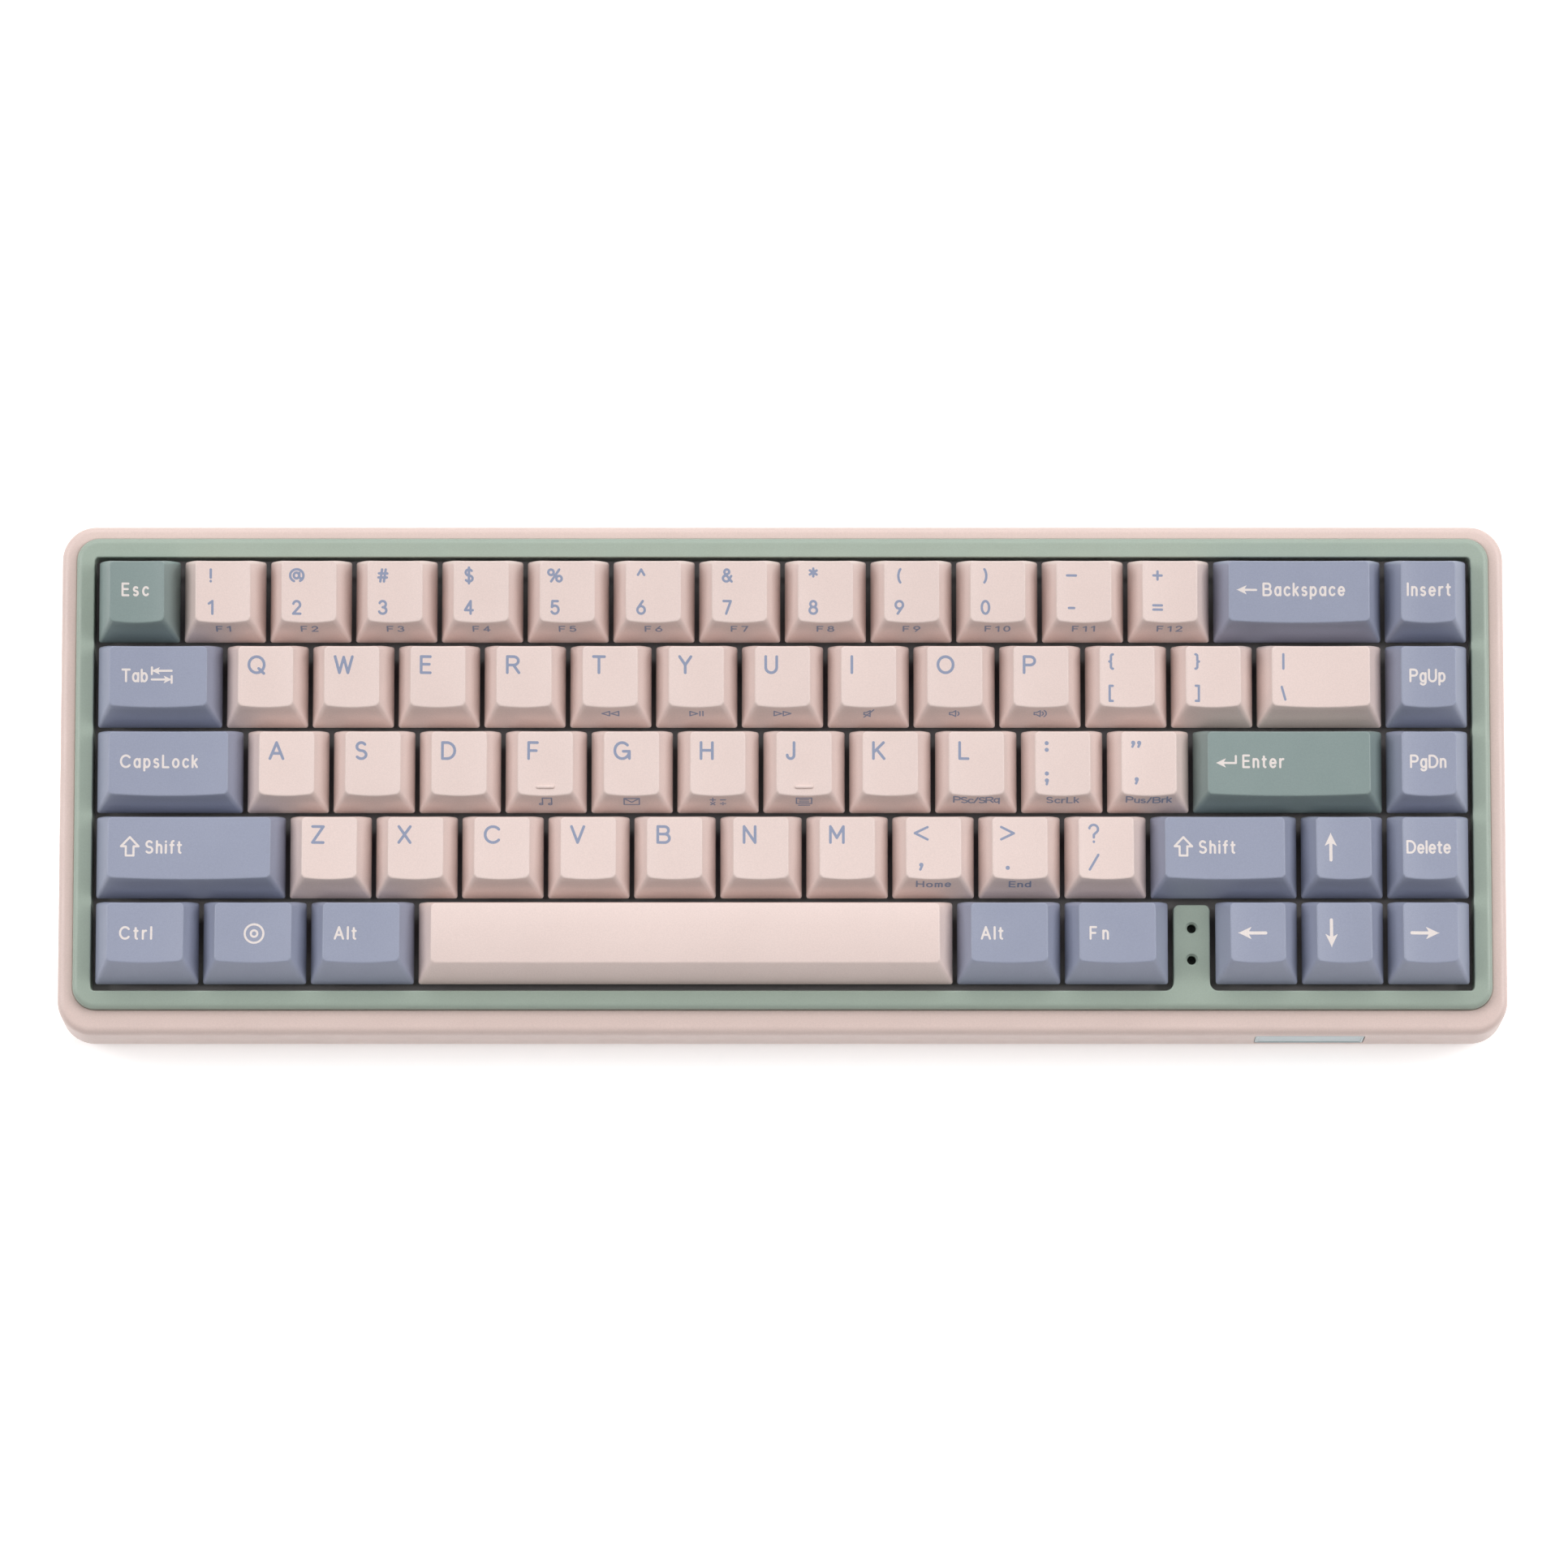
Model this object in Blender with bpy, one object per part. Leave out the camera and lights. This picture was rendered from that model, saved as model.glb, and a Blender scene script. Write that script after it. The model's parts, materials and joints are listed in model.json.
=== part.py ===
"""A 67-key mechanical keyboard, built as separate solids.

Everything from the switch plate up is modelled on a tilted deck, whose frame has its origin on the
plate's top face at the middle of the key field, +X to the right, +Y to the back and +Z out of the plate.
The case, its feet, its socket and its badge are modelled in the world frame, standing on z = 0.
"""

import math

import bmesh
import bpy
from mathutils import Vector

MM = 0.001
GAP = 0.3 * MM  # what touching pieces keep between them

# Key field: rows from the back, each key as (name, width in key units, colour), None for a space.
PITCH = 19.05 * MM
SKIRT_GAP = 0.9 * MM
PINK, BLUE, GREEN = "keycap_pink", "keycap_blue", "keycap_green"
ROWS = [
    [("esc", 1, GREEN)]
    + [(name, 1, PINK) for name in "1 2 3 4 5 6 7 8 9 0 minus equals".split()]
    + [("backspace", 2, BLUE), ("insert", 1, BLUE)],
    [("tab", 1.5, BLUE)]
    + [(name, 1, PINK) for name in "q w e r t y u i o p bracket_left bracket_right".split()]
    + [("backslash", 1.5, PINK), ("page_up", 1, BLUE)],
    [("caps_lock", 1.75, BLUE)]
    + [(name, 1, PINK) for name in "a s d f g h j k l semicolon quote".split()]
    + [("enter", 2.25, GREEN), ("page_down", 1, BLUE)],
    [("left_shift", 2.25, BLUE)]
    + [(name, 1, PINK) for name in "z x c v b n m comma period slash".split()]
    + [("right_shift", 1.75, BLUE), ("arrow_up", 1, BLUE), ("delete", 1, BLUE)],
    [("left_ctrl", 1.25, BLUE), ("system", 1.25, BLUE), ("left_alt", 1.25, BLUE)]
    + [("space", 6.25, PINK), ("right_alt", 1.25, BLUE), ("fn", 1.25, BLUE), (None, 0.5, None)]
    + [("arrow_left", 1, BLUE), ("arrow_down", 1, BLUE), ("arrow_right", 1, BLUE)],
]
COLUMNS = 16
STABILISED = {"backspace": 11.94 * MM, "enter": 11.94 * MM, "left_shift": 11.94 * MM, "space": 50 * MM}
# Keys that share one node, tied by small links between their skirts.
GROUPS = {
    "keycaps_number_row": "1 2 3 4 5 6 7 8 9 0 minus equals".split(),
    "keycaps_brackets": ["bracket_left", "bracket_right", "backslash"],
    "keycaps_semicolon_quote": ["semicolon", "quote"],
    "keycaps_comma_period_slash": ["comma", "period", "slash"],
    "keycaps_navigation_column": ["insert", "page_up", "page_down", "delete"],
}

# Keycap, row by row: height of the top's back and front edges, and how far they stand in from the skirt.
CAP_HEIGHTS = [(9.3, 8.6), (7.9, 7.6), (6.9, 7.2), (6.5, 7.8), (6.5, 7.8)]
CAP_INSETS = [(1.05, 3.45), (0.85, 3.75), (0.7, 3.15), (0.65, 3.6), (0.6, 4.15)]
CAP_SIDE_INSET = 3.05 * MM
CAP_BASE_CORNER, CAP_TOP_CORNER = 0.6 * MM, 1.3 * MM
CAP_DISH = 0.65 * MM
CAP_WALL = 1.3 * MM
CAP_ROOF = 1.2 * MM
CAP_BASE_Z = 6.0 * MM  # skirt above the plate, at rest
POST_SIZE = (6.4 * MM, 5.0 * MM)
POST_FOOT = -4.5 * MM  # below the skirt
LINK_WIDTH, LINK_BASE, LINK_TOP = 3.0 * MM, 0.3 * MM, 1.4 * MM

# Plate, switches and circuit board, as heights above the plate's top face.
PLATE_SIZE, PLATE_CORNER, PLATE_THICK = (309.4 * MM, 100.6 * MM), 3.0 * MM, 1.5 * MM
SWITCH_CUT, SWITCH_BODY, SWITCH_FLANGE = 14.0 * MM, 13.4 * MM, 15.4 * MM
SWITCH_TOP_SIZE, SWITCH_TOP_Z = 9.8 * MM, 6.6 * MM
SWITCH_WELL, SWITCH_WELL_Z = (7.4 * MM, 6.0 * MM), -3.6 * MM
STABILISER_CUT, STABILISER_BODY = (7.0 * MM, 14.6 * MM), (6.4 * MM, 14.0 * MM)
STABILISER_TOP, STABILISER_TOP_Z, STABILISER_WELL = (6.4 * MM, 10.8 * MM), 4.4 * MM, (6.0 * MM, 6.0 * MM)
STABILISER_POST = (4.6 * MM, 4.6 * MM)
PAD_TOP_Z, PAD_BASE_Z = -4.1 * MM, -4.7 * MM
BOARD_TOP_Z, BOARD_THICK, BOARD_SIZE = -5.0 * MM, 1.6 * MM, (303.6 * MM, 94.0 * MM)

# Top frame, on the deck.
FRAME_SIZE, FRAME_CORNER = (313.6 * MM, 104.7 * MM), 4.8 * MM
OPENING_X, OPENING_FRONT, OPENING_BACK, OPENING_CORNER = 153.0 * MM, -48.5 * MM, 48.25 * MM, 0.9 * MM
FRAME_TOP_Z, FRAME_SHELF_Z, FRAME_EDGE = 6.3 * MM, 0.4 * MM, 1.3 * MM
FRAME_SKIRT = 1.6 * MM
ISLAND_WIDTH, ISLAND_CORNER, ISLAND_FILLET = 8.1 * MM, 1.3 * MM, 1.8 * MM
ISLAND_BACK = 8.6 * MM  # from the middle of the front row
LIGHT_OFFSETS = (3.35 * MM, -3.65 * MM)  # from the middle of the front row
LIGHT_HOLE_R, LIGHT_SINK_R, LIGHT_SINK_DEPTH = 1.0 * MM, 1.6 * MM, 0.6 * MM

# Bottom case, in the world frame.
TYPING_ANGLE = math.radians(6.0)
CASE_WIDTH, CASE_DEPTH, CASE_CORNER = 321.0 * MM, 113.0 * MM, 7.5 * MM
CASE_FRONT_HEIGHT, CASE_BASE_Z, FLOOR_THICK = 15.6 * MM, 1.0 * MM, 1.8 * MM
CASE_EDGE, CASE_CHAMFER_IN, CASE_CHAMFER_UP = 1.6 * MM, 3.0 * MM, 3.4 * MM
FRONT_MARGIN = 58.0 * MM  # along the deck, from the case's front face to the middle of the key field
RIM_Z = 4.3 * MM  # the case's rim above the plate
LEDGE_Z, LEDGE_WIDTH = -3.3 * MM, 3.0 * MM
CORNER_STEPS = 6

# Flip feet, rubber strips, socket and badge.
FOOT_X, FOOT_WIDTH, FOOT_LENGTH, FOOT_THICK = 118.0 * MM, 34.0 * MM, 22.0 * MM, 3.6 * MM
FOOT_HINGE_Y, FOOT_HINGE_Z = 43.0 * MM, 3.3 * MM
FOOT_SLANT, FOOT_HEEL = 2.0 * MM, 0.6 * MM  # how far its free end tapers, above and below
FOOT_PIN_R, FOOT_PIN_LENGTH, FOOT_PIN_HOLE_R = 1.0 * MM, 1.1 * MM, 1.35 * MM
POCKET_SIDE_GAP, POCKET_ROOF_Z, POCKET_WALL = 0.4 * MM, 5.6 * MM, 1.6 * MM
POCKET_BACK, POCKET_FRONT = 3.0 * MM, 1.4 * MM  # behind the hinge, and before the foot's free end
STRIP_WIDTH, STRIP_DEPTH, STRIP_CORNER = 7.0 * MM, 0.6 * MM, 2.1 * MM
# Name, y and length of each rubber strip.
STRIPS = [
    ("front_rubber_strip", -46.5 * MM, 236.0 * MM),
    ("rear_rubber_strip", 48.0 * MM, 150.0 * MM),
]
SCREW_SINK_R, SCREW_SINK_DEPTH = 2.7 * MM, 1.1 * MM
SCREW_PLACES = [(x * MM, y * MM) for x in (-145, 0, 145) for y in (-36, 30)]
USB_X, USB_Z, USB_SIZE, USB_LENGTH = -95.0 * MM, 13.3 * MM, (9.0 * MM, 3.2 * MM), 7.6 * MM
USB_MOUTH, USB_TONGUE, USB_FRONT_Y = (8.3 * MM, 2.5 * MM), (6.7 * MM, 0.7 * MM), 51.2 * MM
USB_END_WALL, USB_TONGUE_SINK, USB_ROUNDING = 1.2 * MM, 0.8 * MM, 0.45  # rounding as a share of the height
PLUG_RECESS, PLUG_RECESS_Y = (12.4 * MM, 7.0 * MM), 51.7 * MM
USB_SLOT, USB_SLOT_DEPTH = (9.7 * MM, 3.9 * MM), 8.0 * MM
SOCKET_BOSS, SOCKET_BOSS_Y = (16.0 * MM, 4.2 * MM, 10.0 * MM), 51.4 * MM
BADGE_X, BADGE_SIZE, BADGE_Z, BADGE_SINK = 116.9 * MM, (24.1 * MM, 7.6 * MM), 9.2 * MM, 0.9 * MM
FOAM_HALF_WIDTH, FOAM_FRONT, FOAM_STEP, FOAM_BACK = 148.0 * MM, -38.0 * MM, 15.0 * MM, 42.0 * MM
FOAM_THICK, FOAM_POCKET_GAP = 1.5 * MM, 4.0 * MM

# Colour, roughness and metallic value of each material.
FINISHES = {
    "shell_pink": ((0.77, 0.65, 0.60), 0.5, 0.0),
    "frame_green": ((0.36, 0.47, 0.39), 0.5, 0.0),
    "plate_grey": ((0.30, 0.29, 0.29), 0.5, 0.0),
    "switch_black": ((0.02, 0.02, 0.02), 0.5, 0.0),
    "board_black": ((0.02, 0.04, 0.03), 0.5, 0.0),
    "foam_grey": ((0.12, 0.12, 0.13), 0.9, 0.0),
    "rubber_dark": ((0.03, 0.03, 0.03), 0.8, 0.0),
    "socket_steel": ((0.6, 0.6, 0.6), 0.3, 1.0),
    "badge_blue": ((0.60, 0.69, 0.70), 0.4, 0.0),
    PINK: ((0.80, 0.67, 0.62), 0.55, 0.0),
    BLUE: ((0.33, 0.38, 0.52), 0.55, 0.0),
    GREEN: ((0.22, 0.34, 0.29), 0.55, 0.0),
}


def rounded(corners, radii, steps=CORNER_STEPS):
    """A closed outline through 2-D corners, each turned into an arc of its own radius."""
    outline = []
    for i, here in enumerate(corners):
        here = Vector(here)
        before = (Vector(corners[i - 1]) - here).normalized()
        after = (Vector(corners[(i + 1) % len(corners)]) - here).normalized()
        half = before.angle(after) / 2
        centre = here + (before + after).normalized() * radii[i] / math.sin(half)
        start = here + before * radii[i] / math.tan(half) - centre
        end = here + after * radii[i] / math.tan(half) - centre
        turn = start.angle_signed(end)
        for step in range(steps + 1):
            angle = -turn * step / steps
            arm = Vector((
                start.x * math.cos(angle) - start.y * math.sin(angle),
                start.x * math.sin(angle) + start.y * math.cos(angle),
            ))
            outline.append((centre.x + arm.x, centre.y + arm.y))
    return outline


def rectangle(size, centre=(0.0, 0.0)):
    """Four corners of a rectangle, anticlockwise."""
    half_x, half_y = size[0] / 2, size[1] / 2
    signs = ((-1, -1), (1, -1), (1, 1), (-1, 1))
    return [(centre[0] + sx * half_x, centre[1] + sy * half_y) for sx, sy in signs]


def rounded_rectangle(size, corner, steps=CORNER_STEPS):
    return rounded(rectangle(size), [corner] * 4, steps)


def circle(radius, centre=(0.0, 0.0), sides=12):
    angles = [2 * math.pi * i / sides for i in range(sides)]
    return [(centre[0] + radius * math.cos(a), centre[1] + radius * math.sin(a)) for a in angles]


def ring(bm, outline, height):
    """Vertices along a 2-D outline. The height is a number, or a function of x and y."""
    level = height if callable(height) else lambda x, y: height
    return [bm.verts.new((x, y, level(x, y))) for x, y in outline]


def bridge(bm, lower, upper):
    """Side faces between two rings of as many vertices."""
    for i, vertex in enumerate(lower):
        j = (i + 1) % len(lower)
        bm.faces.new((vertex, lower[j], upper[j], upper[i]))


def fill(bm, *rings):
    """A flat face bounded by the first ring, with the other rings as its holes."""
    edges = []
    for vertices in rings:
        for i, vertex in enumerate(vertices):
            pair = (vertex, vertices[(i + 1) % len(vertices)])
            edges.append(bm.edges.get(pair) or bm.edges.new(pair))
    bmesh.ops.triangle_fill(bm, edges=edges, use_beauty=True, use_dissolve=False)


def stack(bm, outlines_and_heights):
    """Rings joined one above the other, and the list of them."""
    rings = [ring(bm, outline, height) for outline, height in outlines_and_heights]
    for lower, upper in zip(rings, rings[1:]):
        bridge(bm, lower, upper)
    return rings


def material(slot):
    made = bpy.data.materials.get(slot)
    if made:
        return made
    colour, roughness, metallic = FINISHES[slot]
    made = bpy.data.materials.new(slot)
    made.use_nodes = True
    shader = made.node_tree.nodes["Principled BSDF"]
    shader.inputs["Base Color"].default_value = (*colour, 1.0)
    shader.inputs["Roughness"].default_value = roughness
    shader.inputs["Metallic"].default_value = metallic
    return made


def mesh_of(name, bm):
    bmesh.ops.recalc_face_normals(bm, faces=bm.faces)
    mesh = bpy.data.meshes.new(name)
    bm.to_mesh(mesh)
    bm.free()
    mesh.shade_smooth()
    mesh.set_sharp_from_angle(angle=math.radians(30))
    return mesh


def place(name, mesh, slot, parent=None, location=(0.0, 0.0, 0.0)):
    """An object that becomes a part."""
    made = bpy.data.objects.new(name, mesh)
    bpy.context.scene.collection.objects.link(made)
    if not mesh.materials:
        mesh.materials.append(material(slot))
    made.parent = parent
    made.location = location
    return made


def helper(name, mesh, parent=None, location=(0.0, 0.0, 0.0)):
    """A cutter or another shape that only a modifier uses."""
    made = bpy.data.objects.new(name, mesh)
    bpy.context.scene.collection.objects.link(made)
    made.parent = parent
    made.location = location
    made.hide_render = True
    made.display_type = "WIRE"
    return made


def box_mesh(name, low, high):
    bm = bmesh.new()
    outline = [(low[0], low[1]), (high[0], low[1]), (high[0], high[1]), (low[0], high[1])]
    rings = stack(bm, [(outline, low[2]), (outline, high[2])])
    fill(bm, rings[0])
    fill(bm, rings[1])
    return mesh_of(name, bm)


def rod_mesh(name, radius, length, axis, sides=12):
    """A rod centred on the origin, along X or Z."""
    bm = bmesh.new()
    rings = stack(bm, [(circle(radius, sides=sides), -length / 2), (circle(radius, sides=sides), length / 2)])
    for vertices in rings:
        bm.faces.new(vertices)
    if axis == "X":
        for vertex in bm.verts:
            vertex.co = (vertex.co.z, vertex.co.y, -vertex.co.x)
    return mesh_of(name, bm)


def boolean(target, operation, other):
    modifier = target.modifiers.new(f"{operation} {other.name}", "BOOLEAN")
    modifier.operation = operation
    modifier.object = other


def deck_empty():
    """The tilted frame of the key field, set so that the case's rim has the stated height in front."""
    deck = bpy.data.objects.new("deck", None)
    bpy.context.scene.collection.objects.link(deck)
    sine, cosine = math.sin(TYPING_ANGLE), math.cos(TYPING_ANGLE)
    deck.location = (
        0.0,
        -CASE_DEPTH / 2 + FRONT_MARGIN * cosine + RIM_Z * sine,
        CASE_FRONT_HEIGHT + FRONT_MARGIN * sine - RIM_Z * cosine,
    )
    deck.rotation_euler = (TYPING_ANGLE, 0.0, 0.0)
    return deck


def key_table():
    """Every key as {name: (row, width in units, centre x, centre y, colour)}, on the deck."""
    table = {}
    for row, keys in enumerate(ROWS):
        left = -COLUMNS / 2
        for name, units, colour in keys:
            centre = (left + units / 2) * PITCH
            left += units
            if name:
                table[name] = (row, units, centre, (len(ROWS) / 2 - row - 0.5) * PITCH, colour)
    return table


def cap_ring(bm, half_width, front, back, corner, height):
    """Fourteen vertices round a keycap: five along the front and the back, two along each side."""
    reach = half_width - corner
    along = [reach * share for share in (-1, -0.5, 0, 0.5, 1)]
    outline = [(x, front) for x in along]
    outline += [(half_width, front + corner), (half_width, back - corner)]
    outline += [(x, back) for x in reversed(along)]
    outline += [(-half_width, back - corner), (-half_width, front + corner)]
    return ring(bm, outline, height)


def keycap_mesh(name, row, units):
    """A hollow keycap with its switch slider, and the posts of its stabiliser on a wide key.

    Its origin is the middle of the skirt's lower edge.
    """
    half_width, half_depth = (units * PITCH - SKIRT_GAP) / 2, (PITCH - SKIRT_GAP) / 2
    back_height, front_height = (height * MM for height in CAP_HEIGHTS[row])
    back_inset, front_inset = (inset * MM for inset in CAP_INSETS[row])
    top_half, top_front = half_width - CAP_SIDE_INSET, -half_depth + front_inset
    top_back = half_depth - back_inset
    dish = 0.0 if name == "space" else CAP_DISH

    def top_height(x, y):
        share = (y - top_front) / (top_back - top_front)
        return front_height + (back_height - front_height) * share - dish * (1 - (x / top_half) ** 2)

    bm = bmesh.new()
    base = cap_ring(bm, half_width, -half_depth, half_depth, CAP_BASE_CORNER, 0.0)
    top = cap_ring(bm, top_half, top_front, top_back, CAP_TOP_CORNER, top_height)
    bridge(bm, base, top)
    for i in range(4):
        bm.faces.new((top[i], top[i + 1], top[10 - i], top[11 - i]))
    bm.faces.new((top[4], top[5], top[6], top[7]))
    bm.faces.new((top[11], top[12], top[13], top[0]))

    roof = min(back_height, front_height) - dish - CAP_ROOF
    lean = roof / front_height
    mouth = ring(bm, rectangle((2 * (half_width - CAP_WALL), 2 * (half_depth - CAP_WALL))), 0.0)
    inner_half = half_width - CAP_WALL - CAP_SIDE_INSET * lean
    inner_front = -half_depth + CAP_WALL + front_inset * lean
    inner_back = half_depth - CAP_WALL - back_inset * lean
    middle = (0.0, (inner_front + inner_back) / 2)
    ceiling = ring(bm, rectangle((2 * inner_half, inner_back - inner_front), middle), roof)
    fill(bm, base, mouth)
    bridge(bm, mouth, ceiling)
    posts = []
    for x, size in [(0.0, POST_SIZE)] + stabiliser_places(name, STABILISER_POST):
        outline = rectangle(size, (x, 0.0))
        upper, lower = ring(bm, outline, roof), ring(bm, outline, POST_FOOT)
        bridge(bm, upper, lower)
        bm.faces.new(lower)
        posts.append(upper)
    fill(bm, ceiling, *posts)
    return mesh_of(f"cap_{name}", bm)


def stabiliser_places(name, size):
    """The two stabiliser places of a wide key, as (x from the key's middle, size)."""
    reach = STABILISED.get(name)
    return [(-reach, size), (reach, size)] if reach else []


def link_mesh(name, here, there):
    """A small bar between the skirts of two neighbouring keys, in the deck frame."""
    middle = ((here[2] + there[2]) / 2, (here[3] + there[3]) / 2)
    if here[0] == there[0]:
        middle = (here[2] + here[1] * PITCH / 2, here[3])
    length = SKIRT_GAP + 2 * (CAP_WALL - GAP)
    size = (length, LINK_WIDTH) if here[0] == there[0] else (LINK_WIDTH, length)
    low = (middle[0] - size[0] / 2, middle[1] - size[1] / 2, CAP_BASE_Z + LINK_BASE)
    high = (middle[0] + size[0] / 2, middle[1] + size[1] / 2, CAP_BASE_Z + LINK_TOP)
    return box_mesh(name, low, high)


def make_keycaps(deck, table):
    meshes = {}

    def mesh_for(name):
        row, units, _, _, colour = table[name]
        shape = (row, units, colour, name if name in STABILISED else "")
        if shape not in meshes:
            meshes[shape] = keycap_mesh(name, row, units)
        return meshes[shape]

    grouped = {name for names in GROUPS.values() for name in names}
    for name, (_, _, x, y, colour) in table.items():
        if name not in grouped:
            place(f"keycap_{name}", mesh_for(name), colour, deck, (x, y, CAP_BASE_Z))
    for node, names in GROUPS.items():
        first = table[names[0]]
        whole = place(node, mesh_for(names[0]).copy(), first[4], deck, (first[2], first[3], CAP_BASE_Z))
        for before, name in zip(names, names[1:]):
            row, units, x, y, colour = table[name]
            link = helper(f"link_{name}", link_mesh(f"link_{name}", table[before], table[name]), deck)
            boolean(whole, "UNION", link)
            boolean(whole, "UNION", helper(f"grouped_{name}", mesh_for(name), deck, (x, y, CAP_BASE_Z)))


def switch_and_stabiliser_places(table):
    """Deck places of every switch, and of every stabiliser housing."""
    switches = [(x, y) for _, _, x, y, _ in table.values()]
    stabilisers = []
    for name, (_, _, x, y, _) in table.items():
        stabilisers += [(x + offset, y) for offset, _ in stabiliser_places(name, None)]
    return switches, stabilisers


def make_plate(deck, table):
    """The switch plate: a sheet with a square cut for each switch and an oblong one for each stabiliser."""
    switches, stabilisers = switch_and_stabiliser_places(table)
    cuts = [rectangle((SWITCH_CUT, SWITCH_CUT), centre) for centre in switches]
    cuts += [rectangle(STABILISER_CUT, centre) for centre in stabilisers]
    bm = bmesh.new()
    outline = rounded_rectangle(PLATE_SIZE, PLATE_CORNER)
    lower, upper = stack(bm, [(outline, -PLATE_THICK), (outline, 0.0)])
    walls = [stack(bm, [(cut, -PLATE_THICK), (cut, 0.0)]) for cut in cuts]
    fill(bm, lower, *[low for low, _ in walls])
    fill(bm, upper, *[high for _, high in walls])
    return place("switch_plate", mesh_of("switch_plate", bm), "plate_grey", deck)


def housing(bm, centre, body, flange, top, top_z, well):
    """One open-topped housing rising from the pad: returns the ring where it leaves the pad."""
    rings = stack(bm, [
        (rectangle(body, centre), PAD_TOP_Z),
        (rectangle(body, centre), GAP),
        (rectangle(flange, centre), GAP),
        (rectangle(top, centre), top_z),
        (rectangle(well, centre), top_z),
        (rectangle(well, centre), SWITCH_WELL_Z),
    ])
    bm.faces.new(rings[-1])
    return rings[0]


def make_switch_housings(deck, table):
    """All switch and stabiliser housings, standing on the thin pad that ties them over the board."""
    switches, stabilisers = switch_and_stabiliser_places(table)
    bm = bmesh.new()
    outline = rectangle(BOARD_SIZE)
    lower, upper = stack(bm, [(outline, PAD_BASE_Z), (outline, PAD_TOP_Z)])
    bm.faces.new(lower)
    feet = []
    for centre in switches:
        sizes = [(size, size) for size in (SWITCH_BODY, SWITCH_FLANGE, SWITCH_TOP_SIZE)]
        feet.append(housing(bm, centre, *sizes, SWITCH_TOP_Z, SWITCH_WELL))
    lip = (STABILISER_CUT[0] + 2 * GAP, STABILISER_CUT[1] + 2 * GAP)
    for centre in stabilisers:
        feet.append(
            housing(bm, centre, STABILISER_BODY, lip, STABILISER_TOP, STABILISER_TOP_Z, STABILISER_WELL)
        )
    fill(bm, upper, *feet)
    return place("switch_housings", mesh_of("switch_housings", bm), "switch_black", deck)


def make_board(deck):
    low = (-BOARD_SIZE[0] / 2, -BOARD_SIZE[1] / 2, BOARD_TOP_Z - BOARD_THICK)
    high = (BOARD_SIZE[0] / 2, BOARD_SIZE[1] / 2, BOARD_TOP_Z)
    return place("circuit_board", box_mesh("circuit_board", low, high), "board_black", deck)


def opening_outline(light_x, row_y):
    """The frame's opening: a rectangle that runs round the island between two keys of the front row."""
    x, front, back = OPENING_X, OPENING_FRONT, OPENING_BACK
    left, right, tip = light_x - ISLAND_WIDTH / 2, light_x + ISLAND_WIDTH / 2, row_y + ISLAND_BACK
    corners = [
        (-x, front), (left, front), (left, tip), (right, tip),
        (right, front), (x, front), (x, back), (-x, back),
    ]
    corner = OPENING_CORNER
    radii = [corner, ISLAND_FILLET, ISLAND_CORNER, ISLAND_CORNER, ISLAND_FILLET, corner, corner, corner]
    return rounded(corners, radii, 3)


def make_top_frame(deck, table):
    """The frame round the keys: a ring with a skirt that plugs into the case, and the light island."""
    row_y = table["fn"][3]
    light_x = (table["fn"][2] + table["fn"][1] * PITCH / 2 + table["arrow_left"][2] - PITCH / 2) / 2
    bm = bmesh.new()
    arc = FRAME_EDGE * (1 - math.sqrt(0.5))

    def outer(inset):
        size = (FRAME_SIZE[0] - 2 * inset, FRAME_SIZE[1] - 2 * inset)
        return rounded_rectangle(size, FRAME_CORNER - inset)

    rings = stack(bm, [
        (outer(FRAME_SKIRT), FRAME_SHELF_Z),
        (outer(FRAME_SKIRT), LEDGE_Z + GAP),
        (outer(0.0), LEDGE_Z + GAP),
        (outer(0.0), FRAME_TOP_Z - FRAME_EDGE),
        (outer(arc), FRAME_TOP_Z - arc),
        (outer(FRAME_EDGE), FRAME_TOP_Z),
    ])
    opening = opening_outline(light_x, row_y)
    inner = stack(bm, [(opening, FRAME_SHELF_Z), (opening, FRAME_TOP_Z)])
    lights = []
    for offset in LIGHT_OFFSETS:
        centre = (light_x, row_y + offset)
        lights.append(stack(bm, [
            (circle(LIGHT_HOLE_R, centre), FRAME_SHELF_Z),
            (circle(LIGHT_HOLE_R, centre), FRAME_TOP_Z - LIGHT_SINK_DEPTH),
            (circle(LIGHT_SINK_R, centre), FRAME_TOP_Z),
        ]))
    fill(bm, rings[0], inner[0], *[light[0] for light in lights])
    fill(bm, rings[-1], inner[1], *[light[-1] for light in lights])
    return place("top_frame", mesh_of("top_frame", bm), "frame_green", deck)


def case_body_mesh():
    """The case as a solid wedge: chamfered below, with a rounded edge along the sloping rim."""

    def rim(x, y):
        return CASE_FRONT_HEIGHT + (y + CASE_DEPTH / 2) * math.tan(TYPING_ANGLE)

    def outer(inset):
        size = (CASE_WIDTH - 2 * inset, CASE_DEPTH - 2 * inset)
        return rounded_rectangle(size, CASE_CORNER - inset)

    arc = CASE_EDGE * (1 - math.sqrt(0.5))
    bm = bmesh.new()
    rings = stack(bm, [
        (outer(CASE_CHAMFER_IN), CASE_BASE_Z),
        (outer(0.0), CASE_BASE_Z + CASE_CHAMFER_UP),
        (outer(0.0), lambda x, y: rim(x, y) - CASE_EDGE),
        (outer(arc), lambda x, y: rim(x, y) - arc),
        (outer(CASE_EDGE), rim),
    ])
    bm.faces.new(rings[0])
    bm.faces.new(rings[-1])
    return mesh_of("bottom_case", bm)


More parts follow.
